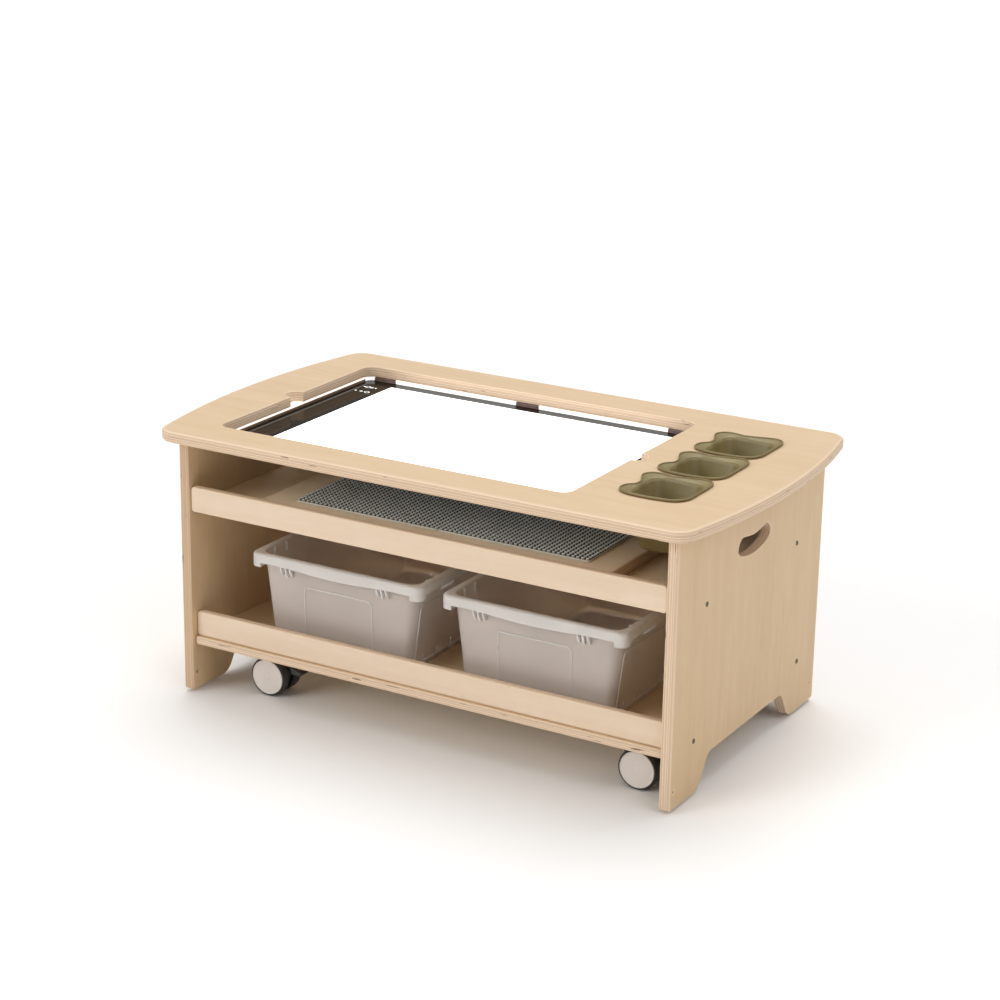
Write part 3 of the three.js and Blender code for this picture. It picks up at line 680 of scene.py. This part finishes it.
# ------------------------------------------------------------------ shelves, rails, battens
def slab(name, nodename, mats, body="frame", r=1.0, corner=2.0, slotname="plywood", n=4, seg=4):
    lo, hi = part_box(nodename)
    lo, hi = lo * 1000, hi * 1000
    plate(name, round_rect((hi.x - lo.x) / 2, (hi.y - lo.y) / 2, corner, n, (lo.x + hi.x) / 2, (lo.y + hi.y) / 2), [], lo.z, hi.z, mats, body, [nodename], r=r, seg=seg, slot=slotname)


# the upper shelf takes the lightened painted-light birch
slab("upper_shelf_fine", "upper_shelf", [M["face_upper"], M["edge_upper"]], r=0.8, corner=1.5)
slab("lower_shelf_fine", "lower_shelf", [M["face_shelf"], M["edge_lower"]], r=1.8, corner=4)
for n in ("left", "right"):
    slab(f"shelf_cleat_{n}_fine", f"shelf_cleat_{n}", [M["face_side"], M["edge_upper"]], r=1.2, corner=1.5)
for lvl in ("upper", "lower"):
    for fb in ("front", "back"):
        nodename = f"{lvl}_rail_{fb}"
        lo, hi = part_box(nodename)
        lo, hi = lo * 1000, hi * 1000
        pts = fillet([(lo.x, lo.z), (hi.x, lo.z), (hi.x, hi.z), (lo.x, hi.z)], [5, 5, 6, 6], 8)
        bm = bmesh.new()
        add_plate(bm, pts, [], 0, hi.y - lo.y, 2.6, None, 5, lambda a, b, c, y=hi.y: (a, y - c, b))
        mat = ply_edge(f"ply_edge_{nodename}", "Y", lo.y, 12.2, 7, ("X", "Z"), seed=2.5 + abs(lo.y) / 90, voids=0.76, strong=(2, 4))
        finish_mesh(bm, f"{nodename}_fine", [M["face_rail"], mat], "frame", [nodename], slot="plywood")


# ------------------------------------------------------------------ light panel
def light_panel():
    """open tray, panel with a gloss border, white trim ring up to the tabletop and three clips in its pockets"""
    paint(["light_tray"], M["tray"])
    paint(["power_inlet"], M["dark"])
    slab("light_housing_fine", "light_housing", [M["dark"], M["dark"]], r=1.2, corner=8, slotname="dark_plastic", n=8)
    x0, x1, wy = -328.3, 203.4, 191.8
    wc, wh = (x0 + x1) / 2, (x1 - x0) / 2
    lo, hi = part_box("light_bezel")
    lo, hi = lo * 1000, hi * 1000
    plate("light_bezel_fine", round_rect((hi.x - lo.x) / 2, (hi.y - lo.y) / 2, 8, 8, (lo.x + hi.x) / 2, 0), [round_rect(wh, wy, 3, 4, wc, 0)], lo.z, hi.z, [M["bezel"], M["bezel"]], "frame", ["light_bezel"], r=0.6, hole_r=0.15, seg=3, slot="black_gloss")
    top = hi.z
    lo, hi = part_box("light_diffuser")
    lo, hi = lo * 1000, hi * 1000
    bm = bmesh.new()
    add_plate(bm, round_rect((hi.x - lo.x) / 2, (hi.y - lo.y) / 2, 6, 6, (lo.x + hi.x) / 2, 0), [], lo.z, lo.z + 1.5, 0.3, None, 2)
    add_plate(bm, round_rect(wh - 0.3, wy - 0.3, 3, 4, wc, 0), [], lo.z + 1.3, hi.z, 0.15, None, 2)
    finish_mesh(bm, "light_diffuser_fine", [M["glow"], M["glow"]], "frame", ["light_diffuser"], slot="light_surface")
    # trim ring: opening lined up with the tabletop's, three pockets at the back
    lo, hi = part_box("light_trim")
    lo, hi = lo * 1000, hi * 1000
    ox0, ox1, oy, r = OPEN[0], OPEN[1], OPEN[2], 12
    ring = round_rect((ox1 - ox0) / 2, oy, r, 8, (ox0 + ox1) / 2, 0)
    ring = [p for p in ring]
    clips = {"left": -353.0, "middle": -77.5, "right": 199.5}
    inner = []
    for i, p in enumerate(ring):
        q = ring[(i + 1) % len(ring)]
        inner.append(p)
        if p[1] > oy - 0.01 and q[1] > oy - 0.01 and p[0] - q[0] > 300:        # along the back, right to left
            for cx in (199.5, -77.5, -353.0):
                a, b = min(cx + 21.3, p[0] - 0.3), max(cx - 21.3, q[0] + 0.3)
                inner += [(a, oy), (a, oy + 9.6), (b, oy + 9.6), (b, oy)]
    # the trim's white material carries painted light: it glows
    plate("light_trim_fine", round_rect((hi.x - lo.x) / 2, (hi.y - lo.y) / 2, 10, 6, (lo.x + hi.x) / 2, 0), [inner], lo.z, hi.z, [M["white"], M["white"]], "frame", ["light_trim"], r=0.4, hole_r=0.15, seg=2, slot="white_plastic")
    # clips: block in the pocket, grip ridges on the face, nose over the panel's edge
    z0, z1 = lo.z, hi.z
    clip = fillet([(oy - 2.4, z0), (oy + 9.2, z0), (oy + 9.2, z1), (oy - 0.8, z1), (oy - 0.9, z1 - 1.2), (oy - 1.5, z1 - 1.6), (oy - 1.5, z1 - 2.6), (oy - 0.9, z1 - 3.0), (oy - 1.0, z0 + 2.3), (oy - 2.4, z0 + 1.5)], [0.5, 0, 0, 0.3, 0.2, 0.3, 0.3, 0.2, 0.4, 0.5], 3)
    for side, x in clips.items():
        bm = bmesh.new()
        a = x - 21 if side != "left" else x - 20.0
        add_plate(bm, clip, [], a, x + 21, 0.25, None, 2, UPRIGHT_X)
        # the clips' brown tone is painted reflection
        finish_mesh(bm, f"panel_clip_{side}_fine", [M["clip"], M["clip"]], "frame", [f"panel_clip_{side}"], slot="black_gloss")
    # painted shade and reflected wood tone: a brown strip along the panel's left end, in front of the lower part of
    # the white ring's left wall; only a thin line of the white ring shows over it
    bm = bmesh.new()
    add_plate(bm, round_rect(0.45, oy - 13, 0.2, 2, ox0 + 0.75, 0), [], z0, z0 + 4.0, 0.15, None, 2)
    finish_mesh(bm, "light_bezel_end_strip", [M["strip"], M["strip"]], "frame", slot="black_gloss", weighted=False)
    # touch marks printed on the border: plain rings and dots
    bm = bmesh.new()
    z = top
    def circle(x, y, R, w):
        add_lathe(bm, [(R - w, -0.03), (R - w, 0.05), (R, 0.05), (R, -0.03)], (x, y, z), "Z", 32, 0, 1, True)
    def dot(x, y, R):
        add_lathe(bm, [(0, -0.03), (R, -0.03), (R, 0.05), (0, 0.05)], (x, y, z), "Z", 20)
    for y, kinds in ((145, "doR"), (172, "dRod")):
        for i, k in enumerate(kinds):
            x = -368 + i * (22 / (len(kinds) - 1))
            if k == "d": dot(x, y, 1.9)
            if k == "o": circle(x, y, 3.0, 0.9); dot(x, y, 1.0)
            if k == "R": circle(x, y, 4.6, 1.2)
    finish_mesh(bm, "touch_marks", [M["mark"]], "frame", slot="light_surface", weighted=False)


light_panel()


# ------------------------------------------------------------------ insert board with stud plates
def board():
    # the board takes the lightened painted-light birch
    slab("insert_board_fine", "insert_board", [M["face_board"], M["edge_board"]], "insert_board", r=2.4, corner=18, n=10, seg=5)
    for s in ("left", "right"):
        lo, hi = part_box(f"brick_plate_{s}")
        lo, hi = lo * 1000, hi * 1000
        bm = bmesh.new()
        # the plate's top takes the near-black painted shade between the studs, its rim the plain grey
        add_plate(bm, round_rect((hi.x - lo.x) / 2, (hi.y - lo.y) / 2, 3, 4, (lo.x + hi.x) / 2, (lo.y + hi.y) / 2), [], lo.z, hi.z, 0.35, None, 2)
        nx, ny, n = 32, 48, 12
        px, py = (hi.x - lo.x) / nx, (hi.y - lo.y) / ny
        ring = [(math.cos(2 * math.pi * k / n), math.sin(2 * math.pi * k / n)) for k in range(n)]
        for i in range(nx):
            for j in range(ny):
                cx, cy = lo.x + (i + 0.5) * px, lo.y + (j + 0.5) * py
                rows = [[bm.verts.new(Vector((cx + r * c, cy + r * q, hi.z + h)) * MM) for c, q in ring] for r, h in ((2.42, -0.05), (2.42, 1.55), (2.22, 1.75))]
                for a, b in zip(rows, rows[1:]):
                    for k in range(n):
                        # stud walls take the plain grey, chamfer and top the lighter painted-light copy
                        bm.faces.new((a[k], a[(k + 1) % n], b[(k + 1) % n], b[k])).material_index = 3 if a is rows[0] else 2
                bm.faces.new(rows[2]).material_index = 2
                bm.faces.new(rows[0][::-1]).material_index = 3
        finish_mesh(bm, f"brick_plate_{s}_fine", [M["slab"], M["slab_edge"], M["stud"], M["stud_wall"]], "insert_board", [f"brick_plate_{s}"], slot="grey_plastic", angle=50, weighted=False)


board()


# ------------------------------------------------------------------ cups
LIP = [(-54, -40), (-52, -25), (-43, -14), (-42, 2), (-49, 18), (-54, 34), (-46, 48), (-30, 51), (-10, 48), (14, 53), (38, 58), (52, 51), (56, 34), (56, 0), (55, -34), (42, -53), (16, -59), (-8, -60), (-32, -58), (-47, -51)]


def cups():
    m, curve = len(LIP), []
    for i in range(m):
        p0, p1, p2, p3 = LIP[i - 1], LIP[i], LIP[(i + 1) % m], LIP[(i + 2) % m]
        for k in range(6):
            t = k / 6
            curve.append(tuple(0.5 * (2 * b + (c - a) * t + (2 * a - 5 * b + 4 * c - d) * t * t + (3 * b - a - 3 * c + d) * t ** 3) for a, b, c, d in zip(p0, p1, p2, p3)))
    curve = tidy(curve, True)

    def shrink(d):
        return [(x * (1 - d / math.hypot(x, y)), y * (1 - d / math.hypot(x, y))) for x, y in curve]

    def along(hx, hy, r):
        out = []
        for x, y in curve:
            l = math.hypot(x, y); c, s = x / l, y / l
            lo, hi = 0.0, 200.0
            for _ in range(36):
                q = (lo + hi) / 2
                ax, ay = abs(q * c - CUP_DX), abs(q * s - CUP_DY)
                if ax <= hx and ay <= hy and math.hypot(max(ax - (hx - r), 0), max(ay - (hy - r), 0)) <= r: lo = q
                else: hi = q
            out.append((lo * c, lo * s))
        return out

    def blend(a, b, t):
        return [(p[0] * (1 - t) + q[0] * t, p[1] * (1 - t) + q[1] * t) for p, q in zip(a, b)]

    z, u, zb = CUP_TOP, TOP_Z1 + 0.3, CUP_TOP - 90
    A = along(40.6, 44.1, 17.4)
    L3 = shrink(3.2)
    rings = [
        (along(20, 27, 8), zb), (along(25.5, 32.5, 12), zb + 0.7), (along(28.6, 35.6, 14), zb + 2.6), (along(30.2, 37.2, 15.2), zb + 7),
        (along(42.2, 45.7, 19), u - 1.8), (along(42.8, 46.3, 19.3), u - 0.3), (blend(along(42.8, 46.3, 19.3), shrink(3), 0.5), u), (shrink(3.0), u + 0.15), (shrink(1.7), u + 0.9), (shrink(0.6), u + 1.25),
        (shrink(0.1), u + 1.8), (shrink(0), z - 1.5), (shrink(0.3), z - 0.7), (shrink(0.95), z - 0.15), (shrink(1.6), z), (shrink(2.25), z - 0.18), (shrink(2.65), z - 0.7), (shrink(2.85), z - 2.0),
        (blend(L3, A, 0.10), z - 2.5), (blend(L3, A, 0.40), z - 3.2), (blend(L3, A, 0.72), z - 4.5), (blend(L3, A, 0.93), z - 6.2), (along(40.2, 43.7, 17.2), z - 9),
        (along(28.6, 35.6, 13.8), zb + 10), (along(27.2, 34.2, 13), zb + 5.6), (along(23.5, 30.5, 11), zb + 3.1), (along(18, 25, 7), zb + 2.4),
    ]
    for i, name in enumerate(("front", "middle", "back")):
        bm = bmesh.new()
        cx, cy = CUP_X, CUP_Y0 + i * CUP_PITCH
        add_rings(bm, rings, place=lambda a, b, c, cx=cx, cy=cy: (cx + a, cy + b, c))
        finish_mesh(bm, f"cup_{name}_fine", [M["olive"]], f"cup_{name}", [f"cup_{name}"], slot="olive_plastic", angle=60, weighted=False)


cups()


# ------------------------------------------------------------------ bins
def bins():
    z0, z1, by = 95.3, 245.0, -3.5
    rr = lambda hx, hy, r, n=10: fine_rect(hx, hy, r, n)

    def skirt(pts, base):
        """bottom edge of the band: deeper in the middle of the front and back"""
        out = []
        for x, y in pts:
            k = 0.0
            if abs(y) > 205 and abs(x) < 96:
                k = math.cos(x / 96 * math.pi / 2) ** 1.3
            out.append(base - 4.2 * k)
        return out

    def fine_rect(hx, hy, r, n=10, mid=14):
        pts, base = [], round_rect(hx, hy, r, n)
        for i, p in enumerate(base):
            q = base[(i + 1) % len(base)]
            pts.append(p)
            if math.dist(p, q) > 60:
                pts += [(p[0] + (q[0] - p[0]) * k / mid, p[1] + (q[1] - p[1]) * k / mid) for k in range(1, mid)]
        return pts

    rings = [
        (rr(116, 188, 9), z0 + 0.9), (rr(121, 193, 13), z0), (rr(124.4, 196.4, 15), z0 + 1.0), (rr(126, 198, 16), z0 + 4),
        (rr(143.2, 202.7, 20), z1 - 8), (rr(143.9, 203.4, 20), z1 - 5.2), (rr(146.5, 206, 18), z1 - 3.6), (rr(151, 209.2, 14), z1 - 3.2),
        (rr(153.0, 210.6, 12), z1 - 4.0), (rr(153.6, 211.1, 11.4), z1 - 6.5),
    ]
    b1, b2, b3, b4 = rr(153.7, 211.2, 11.4), rr(154.3, 211.8, 12), rr(155.3, 212.8, 12.6), rr(156, 213.5, 13)
    rings += [(b1, skirt(b1, z1 - 14.6)), (b2, skirt(b2, z1 - 15.4)), (b3, skirt(b3, z1 - 15.3)), (b4, skirt(b4, z1 - 14.4))]
    lip = len(rings)
    rings += [
        (rr(155.9, 213.4, 13), z1 - 4.2), (rr(155.2, 212.7, 12.7), z1 - 1.7), (rr(153.4, 211, 12), z1 - 0.3),
        (rr(151, 209, 12.5), z1), (rr(145.6, 205, 18), z1), (rr(143.2, 202.7, 19.6), z1 - 0.9), (rr(142, 201.4, 18.6), z1 - 3.6), (rr(140.4, 200.2, 18.2), z1 - 20),
        (rr(124, 196, 14.5), z0 + 9), (rr(122.6, 194.6, 14), z0 + 5), (rr(118.5, 190.5, 11), z0 + 2.9), (rr(113, 185, 8), z0 + 2.5),
    ]
    wall_y = lambda z: 198 + 5.4 * (z - z0) / (z1 - 5 - z0)
    wall_x = lambda z: 126 + 18 * (z - z0) / (z1 - 5 - z0)
    for name, bx in (("left", -169), ("right", 178)):
        bm = bmesh.new()
        place = lambda a, b, c, bx=bx: (bx + a, by + b, c)
        add_rings(bm, rings, place=place)
        for f in bm.faces:
            if f.calc_center_median().z > (z1 - 21) * MM and max(abs(f.calc_center_median().x / MM - bx) - 144, abs(f.calc_center_median().y / MM - by) - 203.4) > -0.8:
                f.material_index = 1
        # deeper posts at the four corners of the band
        for sx in (1, -1):
            for sy in (1, -1):
                arc = [math.pi / 2 * k / 8 for k in range(9)]
                outer = [(156.0, 213.5 - 17)] + [(156 - 13 + 13 * math.cos(a), 213.5 - 13 + 13 * math.sin(a)) for a in arc] + [(156.0 - 19, 213.5)]
                inner = [(outer[0][0] - 2.6, outer[0][1])] + [(156 - 13 + 10.4 * math.cos(a), 213.5 - 13 + 10.4 * math.sin(a)) for a in arc] + [(outer[-1][0], outer[-1][1] - 2.6)]
                add_plate(bm, [place(sx * (x - 0.06), sy * (y - 0.06), 0)[:2] for x, y in outer + inner[::-1]], [], z1 - 22.6, z1 - 14.0, 0.5, None, 2, ID, 1, 1)
                for ex, ey in ((137.6, 206.0), (148.8, 197.2)):      # ribs that close the posts' ends
                    bar = round_rect(0.9 if ex < 140 else 6.2, 6.2 if ex < 140 else 0.9, 0.5, 1, ex, ey)
                    add_plate(bm, [place(sx * x, sy * y, 0)[:2] for x, y in bar], [], z1 - 21.6, z1 - 5, 0.3, None, 1, ID, 1, 1)
        # gussets under the rim, in groups of three
        for sy in (1, -1):
            for gx in (-92, 84):
                for k in (-8.5, 0, 8.5):
                    x = gx + k
                    d = 31 if k else 33
                    prof = [(wall_y(z1 - d) - 0.4, z1 - d), (wall_y(z1 - d) + 2.0, z1 - d), (207.4, z1 - d + 3.5), (211.4, z1 - 19.4), (211.6, z1 - 14.8), (wall_y(z1 - 14) - 0.4, z1 - 14.4)]
                    bb = [(sy * yy, zz) for yy, zz in prof]
                    add_plate(bm, bb, [], x - 1.5, x + 1.5, 0.4, None, 2, lambda a, b, c, bx=bx: (bx + c, by + a, b), 2, 2)
        for sx in (1, -1):
            for gy in (-120, 120):
                for k in (-8.5, 0, 8.5):
                    prof = [(wall_x(z1 - 29) - 0.4, z1 - 29), (wall_x(z1 - 29) + 2.0, z1 - 29), (151, z1 - 23), (154, z1 - 18), (154.1, z1 - 14.8), (wall_x(z1 - 14) - 0.4, z1 - 14.4)]
                    bb = [(sx * xx, zz) for xx, zz in prof]
                    add_plate(bm, bb, [], gy + k - 1.3, gy + k + 1.3, 0.4, None, 2, lambda a, b, c, bx=bx: (bx + a, by + c, b), 2, 2)
            # stacking ribs inside the short ends of the side walls
            for gy in (-169, -137, 137, 169):
                add_plate(bm, [place(sx * x, y, 0)[:2] for x, y in ((142.6, gy - 1.6), (142.6, gy + 1.6), (138.2, gy + 1.2), (138.2, gy - 1.2))], [], z1 - 16, z1 - 2.2, 0.4, None, 2, ID, 2, 2)
        # label frame on the front and back walls, raised outlines on the sides
        for sy in (1, -1):
            fr = fillet([(-62, 106), (62, 106), (62, 201), (-62, 201)], [3, 3, 9, 3], 5)
            add_tube(bm, [place(x, sy * (wall_y(z) + 0.1), z) for x, z in fr], 0.95, 8, True, 2)
        for sx in (1, -1):
            fr = fillet([(-184, 106), (184, 106), (184, 205), (-184, 205)], [4, 4, 8, 8], 5)
            add_tube(bm, [place(sx * (wall_x(z) + 0.1), y, z) for y, z in fr], 0.8, 8, True, 2)
            for k in range(9):
                y = -160 + 40 * k
                add_tube(bm, [place(sx * (wall_x(z) + 0.1), y, z) for z in (101, 108, 118)], 0.8, 6, False, 2)
        finish_mesh(bm, f"bin_{name}_fine", [M["bin"], M["bin_rim"], M["bin_line"]], f"bin_{name}", [f"bin_{name}"], slot="frosted_plastic", angle=45)


bins()


# ------------------------------------------------------------------ casters
def casters():
    cz, tr = 32, 21
    for where, (sx, sy) in {"front_left": (-1, -1), "front_right": (1, -1), "back_left": (-1, 1), "back_right": (1, 1)}.items():
        X, Y = sx * 329, sy * 175
        cx = X + tr
        # mount: plate, race, stem, four screws
        bm = bmesh.new()
        add_plate(bm, round_rect(25, 25, 6, 6, X, Y), [], 79.3, 81.9, 0.5, None, 3, ID, 0, 0)
        add_lathe(bm, [(0, 76.6), (9.2, 76.6), (10.4, 77.2), (10.4, 78.4), (9, 79.4), (0, 79.4)], (X, Y, 0), "Z", 40)
        add_lathe(bm, [(0, 56), (5.1, 56), (5.5, 56.6), (5.5, 77), (0, 77)], (X, Y, 0), "Z", 32)
        for ax in (-18, 18):
            for ay in (-18, 18):
                add_lathe(bm, [(0, 77.9), (1.3, 77.9), (1.5, 77.5), (2.6, 77.7), (3.5, 78.5), (3.7, 79.4), (0, 79.4)], (X + ax, Y + ay, 0), "Z", 20)
        finish_mesh(bm, f"caster_plate_{where}_fine", [M["steel"]], "frame", [f"caster_plate_{where}"], slot="steel", angle=35)
        # hood
        bm = bmesh.new()
        body = f"caster_{where}"
        web = fillet([(tr - 17, 10), (tr + 17, 10), (tr + 25, 30), (tr + 21, 50), (tr + 12, 60), (6, 72), (-9, 72), (-13, 66), (-13, 54), (-4, 36), (-2, 24)], [8, 8, 8, 6, 6, 4, 3, 3, 8, 8, 8], 6)
        add_plate(bm, [(X + x, z) for x, z in web], [], -6.8, 6.8, 1.6, None, 4, lambda a, b, c: (a, Y - c, b), 0, 0)
        add_lathe(bm, [(6.0, 64.5), (11.6, 64.5), (12.8, 65.6), (13, 67), (13, 73.6), (12.2, 75), (10.6, 75.6), (6.0, 75.6)], (X, Y, 0), "Z", 48, 0, 1, True)
        for t in (-1, 1):
            add_lathe(bm, [(6.2, 6.6), (6.2, 7.6), (9.4, 7.6), (10, 6.6)], (cx, Y, cz), "Y", 32, 0, t, True)
        finish_mesh(bm, f"caster_hood_{where}_fine", [M["dark"], M["dark"]], body, [f"caster_hood_{where}"], slot="dark_plastic", angle=40)
        paint([f"caster_axle_{where}"], M["steel"])
        # wheels: soft tread on a core, with a domed hub disc
        for kind, t in (("outer", -1), ("inner", 1)):
            wn = f"wheel_{kind}_{where}"
            bm = bmesh.new()
            prof = [(26.2, 8.2), (29.2, 8.1), (30.6, 8.8), (31.5, 10.4), (31.95, 13), (32.0, 16.5), (31.95, 20), (31.5, 22.6), (30.6, 24.2), (29.4, 24.8), (28.8, 24.6), (28.7, 23.4)]
            add_lathe(bm, prof, (cx, Y, cz), "Y", 96, 0, t)
            add_lathe(bm, [(28.7, 23.4), (20, 22.9), (4.2, 22.9)], (cx, Y, cz), "Y", 96, 1, t)
            add_lathe(bm, [(26.2, 8.2), (25.4, 9.6), (12, 10.4), (8.2, 9.4), (7.8, 8.1), (4.2, 8.1), (4.2, 22.9)], (cx, Y, cz), "Y", 96, 1, t)
            for k in range(6):
                a = 2 * math.pi * k / 6
                add_tube(bm, [(cx + r * math.cos(a), Y + t * 9.7, cz + r * math.sin(a)) for r in (9, 17, 25.4)], 1.1, 6, False, 1)
            bmesh.ops.remove_doubles(bm, verts=bm.verts, dist=1e-6)
            o = finish_mesh(bm, f"{wn}_tread", [M["tread"], M["dark"]], wn, [wn], slot="dark_plastic", angle=40, weighted=False)
            bm = bmesh.new()
            add_lathe(bm, [(0, 22.95), (28.35, 22.95), (28.35, 24.3), (28.05, 24.75), (27.4, 24.95), (26.7, 24.85), (26.2, 24.45), (25.6, 24.3), (20, 24.42), (10, 24.62), (5.6, 24.68), (5.2, 24.5), (4.8, 24.68), (0, 24.74)], (cx, Y, cz), "Y", 96, 0, t)
            finish_mesh(bm, f"{wn}_disc", [M["disc"]], wn, [wn], slot="wheel_grey", angle=35, weighted=False)
        # pedal with a ribbed toe
        bm = bmesh.new()
        arm = fillet([(tr + 26.4, 44), (tr + 33, 42), (75, 40), (79.5, 44), (79.5, 47.5), (70, 50.5), (tr + 36, 53.5), (tr + 23, 53.4), (tr + 23, 50.6)], [1, 2, 2, 2, 2, 4, 3, 1, 1], 4)
        add_plate(bm, [(X + x, z) for x, z in arm], [], -6.6, 6.6, 0.9, None, 3, lambda a, b, c: (a, Y - c, b), 0, 0)
        toe = fillet([(tr + 37, 42), (75, 40), (79, 44), (79, 47.5), (70, 50.3), (tr + 38, 53)], [2, 2, 2, 2, 4, 2], 4)
        add_plate(bm, [(X + x, z) for x, z in toe], [], -15, 15, 2.0, None, 4, lambda a, b, c: (a, Y - c, b), 0, 0)
        for k in range(3):
            x = 63 + 5 * k
            add_tube(bm, [(X + x, Y + yy, 52.6 - 0.3 * (x - 59)) for yy in (-11, 0, 11)], 0.8, 8)
        finish_mesh(bm, f"brake_pedal_{where}_fine", [M["dark"], M["dark"]], f"brake_pedal_{where}", [f"brake_pedal_{where}"], slot="dark_plastic", angle=40)


casters()

# ------------------------------------------------------------------ floor, light, camera
m, t, b = tree("floor_pale")
co = node(t, "ShaderNodeTexCoord").outputs["Object"]
link(t, mix_colour(t, noise(t, co, 0.7, 2), (0.93, 0.925, 0.92), (0.91, 0.905, 0.90)), b.inputs["Base Color"])
b.inputs["Roughness"].default_value = 0.7
b.inputs["Specular IOR Level"].default_value = 0.25
bm = bmesh.new()
bmesh.ops.create_grid(bm, x_segments=2, y_segments=2, size=45)
me = bpy.data.meshes.new("floor")
bm.to_mesh(me); bm.free()
me.materials.append(m)
floor = bpy.data.objects.new("floor", me)
scene.collection.objects.link(floor)
floor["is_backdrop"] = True

m, t, b = tree("backdrop_pale")
b.inputs["Base Color"].default_value = (0, 0, 0, 1)
b.inputs["Specular IOR Level"].default_value = 0.0
b.inputs["Emission Color"].default_value = (1.0, 1.0, 1.0, 1)
b.inputs["Emission Strength"].default_value = 1.0
bm = bmesh.new()
bmesh.ops.create_cone(bm, cap_ends=False, segments=96, radius1=44, radius2=44, depth=90, matrix=Matrix.Translation((0, 0, 44)))
me = bpy.data.meshes.new("backdrop")
bm.to_mesh(me); bm.free()
me.materials.append(m)
backdrop = bpy.data.objects.new("backdrop", me)
scene.collection.objects.link(backdrop)
for flag in ("visible_diffuse", "visible_glossy", "visible_transmission", "visible_volume_scatter", "visible_shadow"):
    setattr(backdrop, flag, False)
backdrop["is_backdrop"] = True

world = bpy.data.worlds.new("studio")
world.use_nodes = True
bg = next(n for n in world.node_tree.nodes if n.type == "BACKGROUND")
bg.inputs[0].default_value = (1.0, 0.995, 0.985, 1)
# an overhead softbox: brightest straight up, dim towards the horizon
_w = world.node_tree
_c = node(_w, "ShaderNodeTexCoord").outputs["Generated"]
_s = node(_w, "ShaderNodeSeparateXYZ")
link(_w, _c, _s.inputs[0])
_up = math_node(_w, "POWER", math_node(_w, "MAXIMUM", _s.outputs[2], 0.0), 2.0)
link(_w, math_node(_w, "MULTIPLY_ADD", _up, 0.66, 0.195), bg.inputs[1])
scene.world = world
scene.view_settings.view_transform = "Standard"
scene.view_settings.look = "None"


def sun(name, direction, energy, angle, colour=(1, 1, 1)):
    L = bpy.data.lights.new(name, "SUN")
    L.energy, L.angle, L.color = energy, math.radians(angle), colour
    o = bpy.data.objects.new(name, L)
    o.rotation_mode = "QUATERNION"
    o.rotation_quaternion = (-Vector(direction)).to_track_quat("-Z", "Y")
    o.location = Vector(direction) * 4
    scene.collection.objects.link(o)


sun("key_front_left", (-0.6, -1.0, 0.55), 1.03, 30, (1.0, 0.99, 0.97))
sun("top_back", (-0.25, 0.75, 2.2), 1.46, 45)
sun("fill_right", (1.0, -0.3, 0.9), 0.58, 40)

cam = bpy.data.cameras.new("camera")
cam.sensor_width = 36
cam.lens = 89.012
co = bpy.data.objects.new("camera", cam)
R = ((0.8623731, 0.5060278, 0.0157634), (0.1715789, -0.2628278, -0.9494642), (-0.4763122, 0.8214970, -0.3134793))
mat = Matrix(((R[0][0], -R[1][0], -R[2][0], 1.826574), (R[0][1], -R[1][1], -R[2][1], -3.156214), (R[0][2], -R[1][2], -R[2][2], 1.531672), (0, 0, 0, 1)))
co.matrix_world = mat
cam.clip_start, cam.clip_end = 0.05, 200
scene.collection.objects.link(co)
scene.camera = co

lo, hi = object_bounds()
